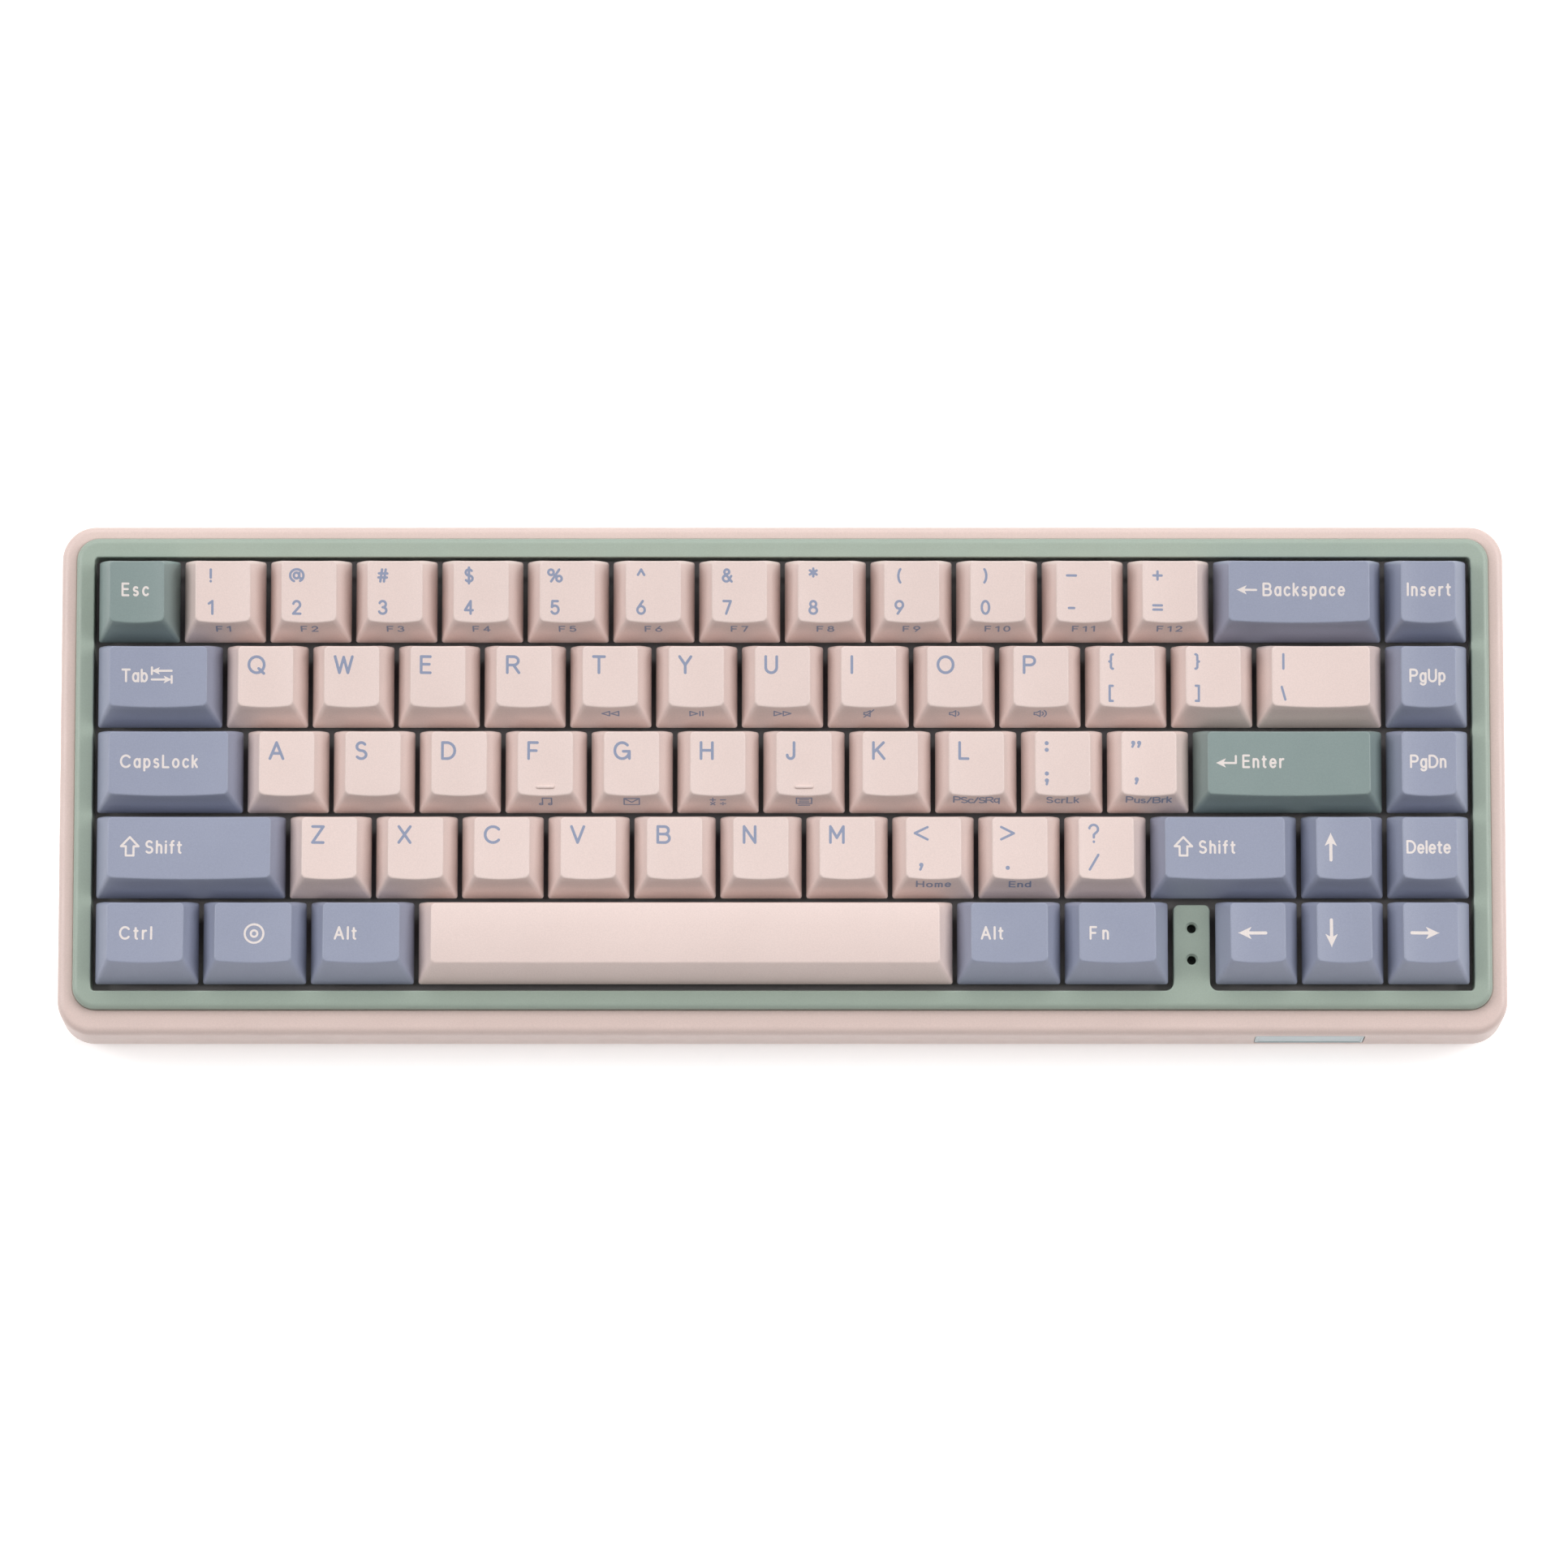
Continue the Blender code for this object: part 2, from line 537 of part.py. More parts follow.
def case_cavity_mesh(deck):
    """What is hollow in the case, in the deck frame: a mouth for the frame's skirt, then a narrower well."""
    slope = math.tan(TYPING_ANGLE)
    floor_z = CASE_BASE_Z + FLOOR_THICK - deck.location.z

    def floor(x, y):
        return floor_z / math.cos(TYPING_ANGLE) - y * slope

    mouth = (FRAME_SIZE[0] + 2 * GAP, FRAME_SIZE[1] + 2 * GAP)
    well = (mouth[0] - 2 * LEDGE_WIDTH, mouth[1] - 2 * LEDGE_WIDTH)
    above = 2 * FRAME_TOP_Z
    bm = bmesh.new()
    rings = stack(bm, [
        (rounded_rectangle(well, FRAME_CORNER - LEDGE_WIDTH + GAP), floor),
        (rounded_rectangle(well, FRAME_CORNER - LEDGE_WIDTH + GAP), LEDGE_Z),
        (rounded_rectangle(mouth, FRAME_CORNER + GAP), LEDGE_Z),
        (rounded_rectangle(mouth, FRAME_CORNER + GAP), above),
    ])
    bm.faces.new(rings[0])
    bm.faces.new(rings[-1])
    return mesh_of("cavity", bm)


def centred_box(name, centre, size):
    low = [middle - side / 2 for middle, side in zip(centre, size)]
    high = [middle + side / 2 for middle, side in zip(centre, size)]
    return helper(name, box_mesh(name, low, high))


def foot_pocket(case, side):
    """A box in the case's floor that a flip foot folds into, with a blind hole at each end for its pins."""
    x, half = side * FOOT_X, FOOT_WIDTH / 2 + POCKET_SIDE_GAP
    front, back = FOOT_HINGE_Y - FOOT_LENGTH - POCKET_FRONT, FOOT_HINGE_Y + POCKET_BACK
    wall = POCKET_WALL
    floor_z = CASE_BASE_Z + FLOOR_THICK / 2
    block = helper(f"pocket_block_{side}", box_mesh(
        "pocket_block", (x - half - wall, front - wall, floor_z),
        (x + half + wall, back + wall, POCKET_ROOF_Z + wall)))
    hollow = helper(f"pocket_{side}", box_mesh(
        "pocket", (x - half, front, -CASE_BASE_Z), (x + half, back, POCKET_ROOF_Z)))
    bore = helper(f"pocket_bore_{side}", rod_mesh(
        "pocket_bore", FOOT_PIN_HOLE_R, 2 * (half + FOOT_PIN_LENGTH), "X"),
        location=(x, FOOT_HINGE_Y, FOOT_HINGE_Z))
    boolean(case, "UNION", block)
    boolean(case, "DIFFERENCE", hollow)
    boolean(case, "DIFFERENCE", bore)


def make_bottom_case(deck):
    case = place("bottom_case", case_body_mesh(), "shell_pink")
    boolean(case, "DIFFERENCE", helper("cavity", case_cavity_mesh(deck), deck))
    for side in (-1, 1):
        foot_pocket(case, side)
    for name, y, length in STRIPS:
        size = (length + 2 * GAP, STRIP_WIDTH + 2 * GAP, 2 * STRIP_DEPTH)
        boolean(case, "DIFFERENCE", centred_box(f"{name}_groove", (0.0, y, CASE_BASE_Z), size))
    back = CASE_DEPTH / 2
    recess = (PLUG_RECESS[0], 2 * (back - PLUG_RECESS_Y), PLUG_RECESS[1])
    slot = (USB_SLOT[0], 2 * USB_SLOT_DEPTH, USB_SLOT[1])
    boolean(case, "UNION", centred_box("socket_boss", (USB_X, SOCKET_BOSS_Y, USB_Z), SOCKET_BOSS))
    boolean(case, "DIFFERENCE", centred_box("plug_recess", (USB_X, back, USB_Z), recess))
    boolean(case, "DIFFERENCE", centred_box("socket_slot", (USB_X, back, USB_Z), slot))
    sink = (BADGE_SIZE[0] + 2 * GAP, 2 * BADGE_SINK, BADGE_SIZE[1] + 2 * GAP)
    boolean(case, "DIFFERENCE", centred_box("badge_recess", (BADGE_X, -back, BADGE_Z), sink))
    for i, (x, y) in enumerate(SCREW_PLACES):
        rod = rod_mesh("screw_sink", SCREW_SINK_R, 2 * SCREW_SINK_DEPTH, "Z")
        boolean(case, "DIFFERENCE", helper(f"screw_sink_{i}", rod, location=(x, y, CASE_BASE_Z)))
    return case


def make_strips():
    for name, y, length in STRIPS:
        bm = bmesh.new()
        outline = rounded(rectangle((length, STRIP_WIDTH), (0.0, y)), [STRIP_CORNER] * 4, 3)
        rings = stack(bm, [(outline, 0.0), (outline, CASE_BASE_Z + STRIP_DEPTH - GAP)])
        for vertices in rings:
            bm.faces.new(vertices)
        place(name, mesh_of(name, bm), "rubber_dark")


def foot_outline():
    """The side view of a flip foot, from its hinge: round at the hinge, tapered to its free end."""
    half = FOOT_THICK / 2
    arc = [math.radians(angle) for angle in range(-90, 91, 30)]
    outline = [(half * math.cos(a), half * math.sin(a)) for a in arc]
    outline += [(FOOT_SLANT - FOOT_LENGTH, half), (-FOOT_LENGTH, 0.0), (FOOT_HEEL - FOOT_LENGTH, -half)]
    return outline


def make_flip_foot(name, side):
    """A flip foot with its two pins, its origin on the hinge line and its outline across X."""
    bm = bmesh.new()
    half = FOOT_WIDTH / 2
    ends = []
    for x in (-half, half):
        ends.append([bm.verts.new((x, y, z)) for y, z in foot_outline()])
    bridge(bm, ends[0], ends[1])
    for sign, end in zip((-1, 1), ends):
        pin = [(y, z) for y, z in circle(FOOT_PIN_R)]
        base = [bm.verts.new((sign * half, y, z)) for y, z in pin]
        tip = [bm.verts.new((sign * (half + FOOT_PIN_LENGTH), y, z)) for y, z in pin]
        bridge(bm, base, tip)
        bm.faces.new(tip)
        fill(bm, end, base)
    foot = place(name, mesh_of(name, bm), "shell_pink")
    foot.location = (side * FOOT_X, FOOT_HINGE_Y, FOOT_HINGE_Z)
    return foot


def make_socket():
    """The USB socket: a round-ended steel shell with its tongue, open to the back."""
    bm = bmesh.new()

    def at(depth, outline):
        return [bm.verts.new((USB_X + x, USB_FRONT_Y - depth, USB_Z + z)) for x, z in outline]

    shell = rounded_rectangle(USB_SIZE, USB_SIZE[1] * USB_ROUNDING, 4)
    mouth = rounded_rectangle(USB_MOUTH, USB_MOUTH[1] * USB_ROUNDING, 4)
    inner_depth = USB_LENGTH - USB_END_WALL
    back, front = at(USB_LENGTH, shell), at(0.0, shell)
    lip, bottom = at(0.0, mouth), at(inner_depth, mouth)
    root, tip = at(inner_depth, rectangle(USB_TONGUE)), at(USB_TONGUE_SINK, rectangle(USB_TONGUE))
    bm.faces.new(back)
    bridge(bm, back, front)
    bridge(bm, lip, bottom)
    bridge(bm, root, tip)
    bm.faces.new(tip)
    fill(bm, front, lip)
    fill(bm, bottom, root)
    return place("usb_socket", mesh_of("usb_socket", bm), "socket_steel")


def make_badge():
    """The blank badge let into the case's front face."""
    front = -CASE_DEPTH / 2
    half = (BADGE_SIZE[0] / 2, BADGE_SIZE[1] / 2)
    low = (BADGE_X - half[0], front, BADGE_Z - half[1])
    high = (BADGE_X + half[0], front + BADGE_SINK - GAP, BADGE_Z + half[1])
    return place("front_badge", box_mesh("front_badge", low, high), "badge_blue")


def make_foam():
    """The damping sheet on the case's floor, stepped in to pass between the foot pockets."""
    wide, narrow = FOAM_HALF_WIDTH, FOOT_X - FOOT_WIDTH / 2 - FOAM_POCKET_GAP
    front, step, back = FOAM_FRONT, FOAM_STEP, FOAM_BACK
    outline = [
        (-wide, front), (wide, front), (wide, step), (narrow, step),
        (narrow, back), (-narrow, back), (-narrow, step), (-wide, step),
    ]
    bm = bmesh.new()
    base = CASE_BASE_Z + FLOOR_THICK + GAP
    rings = stack(bm, [(outline, base), (outline, base + FOAM_THICK)])
    for vertices in rings:
        fill(bm, vertices)
    return place("case_foam", mesh_of("case_foam", bm), "foam_grey")


def main():
    for old in list(bpy.data.objects):
        bpy.data.objects.remove(old)
    deck = deck_empty()
    table = key_table()
    make_bottom_case(deck)
    make_top_frame(deck, table)
    make_plate(deck, table)
    make_switch_housings(deck, table)
    make_board(deck)
    make_foam()
    make_socket()
    make_badge()
    make_strips()
    make_flip_foot("left_flip_foot", -1)
    make_flip_foot("right_flip_foot", 1)
    make_keycaps(deck, table)


main()
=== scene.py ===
"""The looks of a 67-key mechanical keyboard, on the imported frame.

The deck is the tilted frame of the key field: its origin lies on the switch plate's top face, at the middle
of the field, with +X to the right, +Y to the back and +Z out of the plate. Every mesh is made in the deck
frame or the row frame, and stored in the row frame.
"""

import json
import math

import bmesh
import bpy
import numpy as np
from mathutils import Matrix, Vector
from mathutils.geometry import tessellate_polygon


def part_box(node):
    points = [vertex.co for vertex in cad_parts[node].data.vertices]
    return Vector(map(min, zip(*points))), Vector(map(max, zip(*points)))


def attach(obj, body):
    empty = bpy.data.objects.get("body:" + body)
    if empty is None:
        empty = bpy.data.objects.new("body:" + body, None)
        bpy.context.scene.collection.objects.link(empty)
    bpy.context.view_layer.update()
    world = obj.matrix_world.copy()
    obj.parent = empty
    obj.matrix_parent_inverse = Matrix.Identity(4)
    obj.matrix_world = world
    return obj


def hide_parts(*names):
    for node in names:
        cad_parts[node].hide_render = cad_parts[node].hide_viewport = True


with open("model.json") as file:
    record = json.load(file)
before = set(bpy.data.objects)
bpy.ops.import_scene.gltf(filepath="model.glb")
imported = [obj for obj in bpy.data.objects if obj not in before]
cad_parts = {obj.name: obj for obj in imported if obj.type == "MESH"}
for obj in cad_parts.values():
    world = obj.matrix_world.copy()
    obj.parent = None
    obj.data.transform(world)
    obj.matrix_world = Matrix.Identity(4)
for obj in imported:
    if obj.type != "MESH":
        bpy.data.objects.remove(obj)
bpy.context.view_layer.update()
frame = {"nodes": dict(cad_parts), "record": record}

MM = 0.001
GAP, PLATE_THICK = 0.3 * MM, 1.5 * MM

# Key field: rows from the back, each key as (name, width in key units, colour), None for a space.
PITCH = 19.05 * MM
SKIRT_GAP = 0.9 * MM
COLUMNS = 16
PINK, BLUE, GREEN = "keycap_pink", "keycap_blue", "keycap_green"
ROWS = [
    [("esc", 1, GREEN)]
    + [(name, 1, PINK) for name in "1 2 3 4 5 6 7 8 9 0 minus equals".split()]
    + [("backspace", 2, BLUE), ("insert", 1, BLUE)],
    [("tab", 1.5, BLUE)]
    + [(name, 1, PINK) for name in "q w e r t y u i o p bracket_left bracket_right".split()]
    + [("backslash", 1.5, PINK), ("page_up", 1, BLUE)],
    [("caps_lock", 1.75, BLUE)]
    + [(name, 1, PINK) for name in "a s d f g h j k l semicolon quote".split()]
    + [("enter", 2.25, GREEN), ("page_down", 1, BLUE)],
    [("left_shift", 2.25, BLUE)]
    + [(name, 1, PINK) for name in "z x c v b n m comma period slash".split()]
    + [("right_shift", 1.75, BLUE), ("arrow_up", 1, BLUE), ("delete", 1, BLUE)],
    [("left_ctrl", 1.25, BLUE), ("system", 1.25, BLUE), ("left_alt", 1.25, BLUE)]
    + [("space", 6.25, PINK), ("right_alt", 1.25, BLUE), ("fn", 1.25, BLUE), (None, 0.5, None)]
    + [("arrow_left", 1, BLUE), ("arrow_down", 1, BLUE), ("arrow_right", 1, BLUE)],
]
GROUPS = {
    "keycaps_number_row": "1 2 3 4 5 6 7 8 9 0 minus equals".split(),
    "keycaps_brackets": ["bracket_left", "bracket_right", "backslash"],
    "keycaps_semicolon_quote": ["semicolon", "quote"],
    "keycaps_comma_period_slash": ["comma", "period", "slash"],
    "keycaps_navigation_column": ["insert", "page_up", "page_down", "delete"],
}

# Keycap, row by row: height of the top's back and front edges, and how far they stand in from the skirt.
CAP_HEIGHTS = [(9.3, 8.6), (7.9, 7.6), (6.9, 7.2), (6.5, 7.8), (6.5, 7.8)]
CAP_INSETS = [(1.05, 3.45), (0.85, 3.75), (0.7, 3.15), (0.65, 3.6), (0.6, 4.15)]
CAP_SIDE_INSET, CAP_BOW = 3.05 * MM, 0.4 * MM
CAP_BASE_CORNER, CAP_TOP_CORNER = 0.6 * MM, 1.0 * MM
CAP_DISH, CAP_CROWN, CAP_BULGE = 0.65 * MM, 0.55 * MM, 0.14 * MM
CAP_WALL, CAP_ROOF, CAP_LIP, CAP_LIP_BEND = 1.3 * MM, 1.2 * MM, 0.18 * MM, 0.3
CAP_EDGE, CAP_CORNER_SHRINK, CAP_LEAST_CORNER = 0.27 * MM, 0.6, 0.3 * MM
CAP_BASE_Z = 6.0 * MM
CORNER_STEPS, SIDE_STEPS, WALL_STEPS, EDGE_STEPS = 5, 12, 7, 5
TOP_INSETS = [inset * MM for inset in (0.12, 0.4, 0.9, 1.6, 2.5, 3.4, 4.3, 4.9)]
SLIDER_SIZE, SLIDER_CORNER, SLIDER_Z = (6.4 * MM, 5.0 * MM), 0.5 * MM, (-4.4 * MM, -0.4 * MM)
CROSS_REACH, CROSS_HALF, CROSS_LENGTH, BOSS_R = 2.0 * MM, 0.6 * MM, 3.2 * MM, 2.75 * MM
HOMING_SIZE, HOMING_Y, HOMING_RISE, HOMING_SINK = (4.1 * MM, 0.75 * MM), -3.95 * MM, 0.35 * MM, 0.2 * MM
HOMING_KEYS, HOMING_ROUND = ("f", "j"), 0.8

# Legends, in millimetres on the cap: heights of a capital, pen widths and places.
LETTER_PEN, LETTER_HEIGHT, LETTER_X, LETTER_YS = 0.62, 3.58, -3.72, (2.35, 2.35, 2.35, 2.75)
PAIR_PEN, PAIR_HEIGHT, UPPER_HEIGHT, PAIR_INSET, PAIR_Y = 0.54, 2.8, 2.66, 6.35, (-3.65, 3.5)
LEFTISH_SHIFT = 0.8
WORD_PEN, WORD_HEIGHT, WORD_Y, WORD_NARROW = 0.47, 2.58, 0.45, 0.88
SYMBOL_GAP, TEXT_GAP, FRONT_PEN, FRONT_TRACKING = 1.65, 1.1, 0.38, 0.58
# Legends on the front: height, how much wider they are drawn, and how far up the wall, row by row.
FRONT_TEXT, FRONT_SYMBOL = (2.1, 1.0, (5.6, 5.0, 5.0, 5.5)), (2.8, 0.8, (5.6, 4.7, 4.1, 4.4))
HEAD_HALF, HEAD_NOTCH, FILL_GROWTH = 0.48, 0.72, 0.12
LEGEND_STEP, LEGEND_RISE, LEGEND_DEPTH = 0.09, 0.014 * MM, -0.2 * MM


def deck_matrix():
    """Where the deck lies in the row frame, from the direction of the keys and the plate's own box."""
    slide = next(joint for joint in frame["record"]["behaviour"]["joints"] if joint["type"] == "slide")
    turn = Matrix.Rotation(math.atan2(slide["axis"][1], -slide["axis"][2]), 4, "X")
    low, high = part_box("switch_plate")
    return Matrix.Translation((low + high) / 2) @ turn @ Matrix.Translation((0, 0, PLATE_THICK / 2))


DECK = deck_matrix()
ROW_FRAME = Matrix.Identity(4)


class Shape:
    """Points and faces that grow ring by ring."""

    def __init__(self):
        self.points = []
        self.faces = []

    def ring(self, points):
        start = len(self.points)
        self.points += [tuple(point) for point in points]
        return list(range(start, len(self.points)))

    def bridge(self, lower, upper):
        count = len(lower)
        for i in range(count):
            j = (i + 1) % count
            self.faces.append((lower[i], lower[j], upper[j], upper[i]))

    def stack(self, rings):
        """Rings of points joined in turn: the index lists of the first and the last."""
        made = [self.ring(points) for points in rings]
        for lower, upper in zip(made, made[1:]):
            self.bridge(lower, upper)
        return made[0], made[-1]

    def fill(self, *rings):
        """A flat face inside the first ring and outside the others."""
        loops = [[Vector(self.points[i]) for i in ring] for ring in rings]
        flat = [i for ring in rings for i in ring]
        self.faces += [tuple(flat[i] for i in triangle) for triangle in tessellate_polygon(loops)]

    def solid(self, rings):
        """Rings of points joined in turn, with a flat face over both ends."""
        for end in self.stack(rings):
            self.fill(end)
        return self

    def mesh(self, name, to_row=ROW_FRAME, sharp=32):
        mesh = bpy.data.meshes.new(name)
        mesh.from_pydata([to_row @ Vector(point) for point in self.points], [], self.faces)
        tidy_normals(mesh)
        mesh.shade_smooth()
        mesh.set_sharp_from_angle(angle=math.radians(sharp))
        return mesh


def tidy_normals(mesh):
    bm = bmesh.new()
    bm.from_mesh(mesh)
    bmesh.ops.recalc_face_normals(bm, faces=bm.faces)
    bm.to_mesh(mesh)
    bm.free()


def link_object(name, data):
    made = bpy.data.objects.new(name, data)
    bpy.context.scene.collection.objects.link(made)
    return made


def piece(name, mesh, look, body, slot, *nodes):
    """An object that rides on a body, wears a finish and stands for CAD nodes."""
    made = link_object(name, mesh)
    mesh.materials.append(FINISH[look])
    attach(made, body)
    if nodes:
        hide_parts(*nodes)


# ---- Outlines ----


def rounded(corners, radii, steps):
    """A closed outline through 2-D corners, each turned into an arc of its own radius."""
    outline = []
    for i, here in enumerate(corners):
        here = Vector(here)
        before = (Vector(corners[i - 1]) - here).normalized()
        after = (Vector(corners[(i + 1) % len(corners)]) - here).normalized()
        half = before.angle(after) / 2
        centre = here + (before + after).normalized() * radii[i] / math.sin(half)
        start = here + before * radii[i] / math.tan(half) - centre
        end = here + after * radii[i] / math.tan(half) - centre
        turn = start.angle_signed(end)
        for step in range(steps + 1):
            angle = -turn * step / steps
            x = start.x * math.cos(angle) - start.y * math.sin(angle)
            y = start.x * math.sin(angle) + start.y * math.cos(angle)
            outline.append((centre.x + x, centre.y + y))
    return outline


def rounded_rectangle(size, corner, steps=10, centre=(0.0, 0.0)):
    x, y = size[0] / 2, size[1] / 2
    corners = [(centre[0] + a * x, centre[1] + b * y) for a, b in ((-1, -1), (1, -1), (1, 1), (-1, 1))]
    return rounded(corners, [corner] * 4, steps)


def circle(radius, centre=(0.0, 0.0), sides=32):
    angles = [2 * math.pi * i / sides for i in range(sides)]
    return [(centre[0] + radius * math.cos(a), centre[1] + radius * math.sin(a)) for a in angles]


def cross_outline(reach, half):
    """A cross with arms of half a width, reaching out from its middle."""
    arms = [(reach, half), (half, half), (half, reach)]
    right_back = arms + [(-x, y) for x, y in reversed(arms)]
    return right_back + [(-x, -y) for x, y in arms] + [(x, -y) for x, y in reversed(arms)]


def offset(outline, distance):
    """The outline moved outwards by a distance, along the normal at each of its points."""
    moved = []
    for i, (x, y) in enumerate(outline):
        before, after = outline[i - 1], outline[(i + 1) % len(outline)]
        along = Vector((after[0] - before[0], after[1] - before[1])).normalized()
        moved.append((x + along.y * distance, y - along.x * distance))
    return moved


def at(outline, height):
    """The outline as 3-D points, at a height that is a number or a function of x and y."""
    level = height if callable(height) else lambda x, y: height
    return [(x, y, level(x, y)) for x, y in outline]


def round_over(radius, steps=6):
    """(inset, drop) pairs from a vertical wall over a rounded edge on to the flat."""
    angles = [math.pi / 2 * step / steps for step in range(steps + 1)]
    return [(radius * (1 - math.cos(a)), radius * (1 - math.sin(a))) for a in angles]


# ---- Finishes ----

# Noise features per metre, the share of the clouds in the tone, and how far the gloss goes below and above.
NOISE_RANGE, CLOUD_SCALE, GLOSS_SCALE, CLOUD_SHARE = (0.3, 0.7), 45.0, 160.0, 0.3
GLOSS_BELOW, GLOSS_ABOVE, RELIEF_SCALE, RELIEF_STRENGTH = 0.05, 0.06, 1.3, 0.6


def srgb(red, green, blue):
    """A colour given as it looks on a screen, 0 to 255, as linear light."""
    channels = [value / 255 for value in (red, green, blue)]
    linear = [c / 12.92 if c <= 0.04045 else ((c + 0.055) / 1.055) ** 2.4 for c in channels]
    return (*linear, 1.0)


def set_inputs(node, **values):
    """Values for a node's inputs, with _ for each space in an input's name."""
    for name, value in values.items():
        node.inputs[name.replace("_", " ")].default_value = value


def noise(nodes, links, scale, detail=2.0):
    """A noise texture in the piece's own coordinates, with scale in features per metre."""
    place = nodes.new("ShaderNodeTexCoord")
    texture = nodes.new("ShaderNodeTexNoise")
    set_inputs(texture, Scale=scale, Detail=detail)
    links.new(place.outputs["Object"], texture.inputs["Vector"])
    return texture.outputs["Fac"]


def spread(nodes, links, value, low, high):
    """A noise value, which seldom leaves NOISE_RANGE, turned into a range."""
    node = nodes.new("ShaderNodeMapRange")
    set_inputs(node, From_Min=NOISE_RANGE[0], From_Max=NOISE_RANGE[1], To_Min=low, To_Max=high)
    links.new(value, node.inputs["Value"])
    return node.outputs["Result"]


def finish(name, colour, roughness, grain=3200.0, mottle=0.05, relief=0.02 * MM, metallic=0.0, coat=0.0):
    """A moulded or painted surface: a fine grain, clouds of tone, uneven gloss and a sandblasted relief."""
    made = bpy.data.materials.new(name)
    made.use_nodes = True
    nodes, links = made.node_tree.nodes, made.node_tree.links
    shader = nodes["Principled BSDF"]
    set_inputs(shader, Metallic=metallic, Coat_Weight=coat)
    fine = noise(nodes, links, grain)
    cloud = noise(nodes, links, CLOUD_SCALE)
    tone = nodes.new("ShaderNodeMix")
    tone.data_type = "RGBA"
    for socket, change in (("A", -mottle), ("B", mottle)):
        shade = [min(1.0, channel * (1 + change)) for channel in colour[:3]]
        tone.inputs[socket].default_value = shade + [1.0]
    blend = nodes.new("ShaderNodeMix")
    set_inputs(blend, Factor=CLOUD_SHARE)
    links.new(spread(nodes, links, fine, 0.0, 1.0), blend.inputs["A"])
    links.new(spread(nodes, links, cloud, 0.0, 1.0), blend.inputs["B"])
    links.new(blend.outputs["Result"], tone.inputs["Factor"])
    links.new(tone.outputs["Result"], shader.inputs["Base Color"])
    gloss = noise(nodes, links, GLOSS_SCALE, 4.0)
    uneven = spread(nodes, links, gloss, roughness - GLOSS_BELOW, roughness + GLOSS_ABOVE)
    links.new(uneven, shader.inputs["Roughness"])
    bump = nodes.new("ShaderNodeBump")
    set_inputs(bump, Strength=RELIEF_STRENGTH, Distance=relief)
    links.new(noise(nodes, links, grain * RELIEF_SCALE, 3.0), bump.inputs["Height"])
    links.new(bump.outputs["Normal"], shader.inputs["Normal"])
    return made


FINISH = {
    PINK: finish("cap_plastic_pink", srgb(227, 207, 201), 0.43),
    BLUE: finish("cap_plastic_blue", srgb(150, 155, 175), 0.43),
    GREEN: finish("cap_plastic_green", srgb(134, 149, 147), 0.43),
    "legend_blue": finish("legend_plastic_blue", srgb(141, 149, 174), 0.5),
    "legend_pale": finish("legend_plastic_pale", srgb(226, 216, 212), 0.5),
    "shell_pink": finish("shell_plastic_pink", srgb(220, 198, 191), 0.42),
    "frame_green": finish("frame_plastic_green", srgb(158, 171, 159), 0.42),
    "plate_grey": finish("plate_coat", srgb(150, 146, 147), 0.5, relief=0.01 * MM),
    "switch_black": finish("switch_nylon", srgb(44, 42, 43), 0.4, relief=0.01 * MM),
    "slider_red": finish("slider_plastic", srgb(120, 40, 44), 0.35, relief=0.005 * MM),
    "board_black": finish("solder_mask", srgb(22, 30, 26), 0.3, grain=900.0, mottle=0.2, coat=0.4),
    "foam_grey": finish("foam", srgb(70, 70, 74), 0.9, grain=1800.0, mottle=0.2, relief=0.08 * MM),
    "rubber_dark": finish("rubber", srgb(52, 50, 51), 0.75, grain=2200.0, mottle=0.12),
    "socket_steel": finish("drawn_steel", srgb(190, 190, 192), 0.28, relief=0.004 * MM, metallic=1.0),
    "screw_steel": finish("screw_steel", srgb(120, 120, 124), 0.33, relief=0.006 * MM, metallic=1.0),
    "badge_blue": finish("badge_coat", srgb(184, 198, 202), 0.36, relief=0.006 * MM, coat=0.2),
    "light_lens": finish("light_lens", srgb(14, 15, 15), 0.3, relief=0.002 * MM, coat=0.5),
}

# ---- Keycaps ----


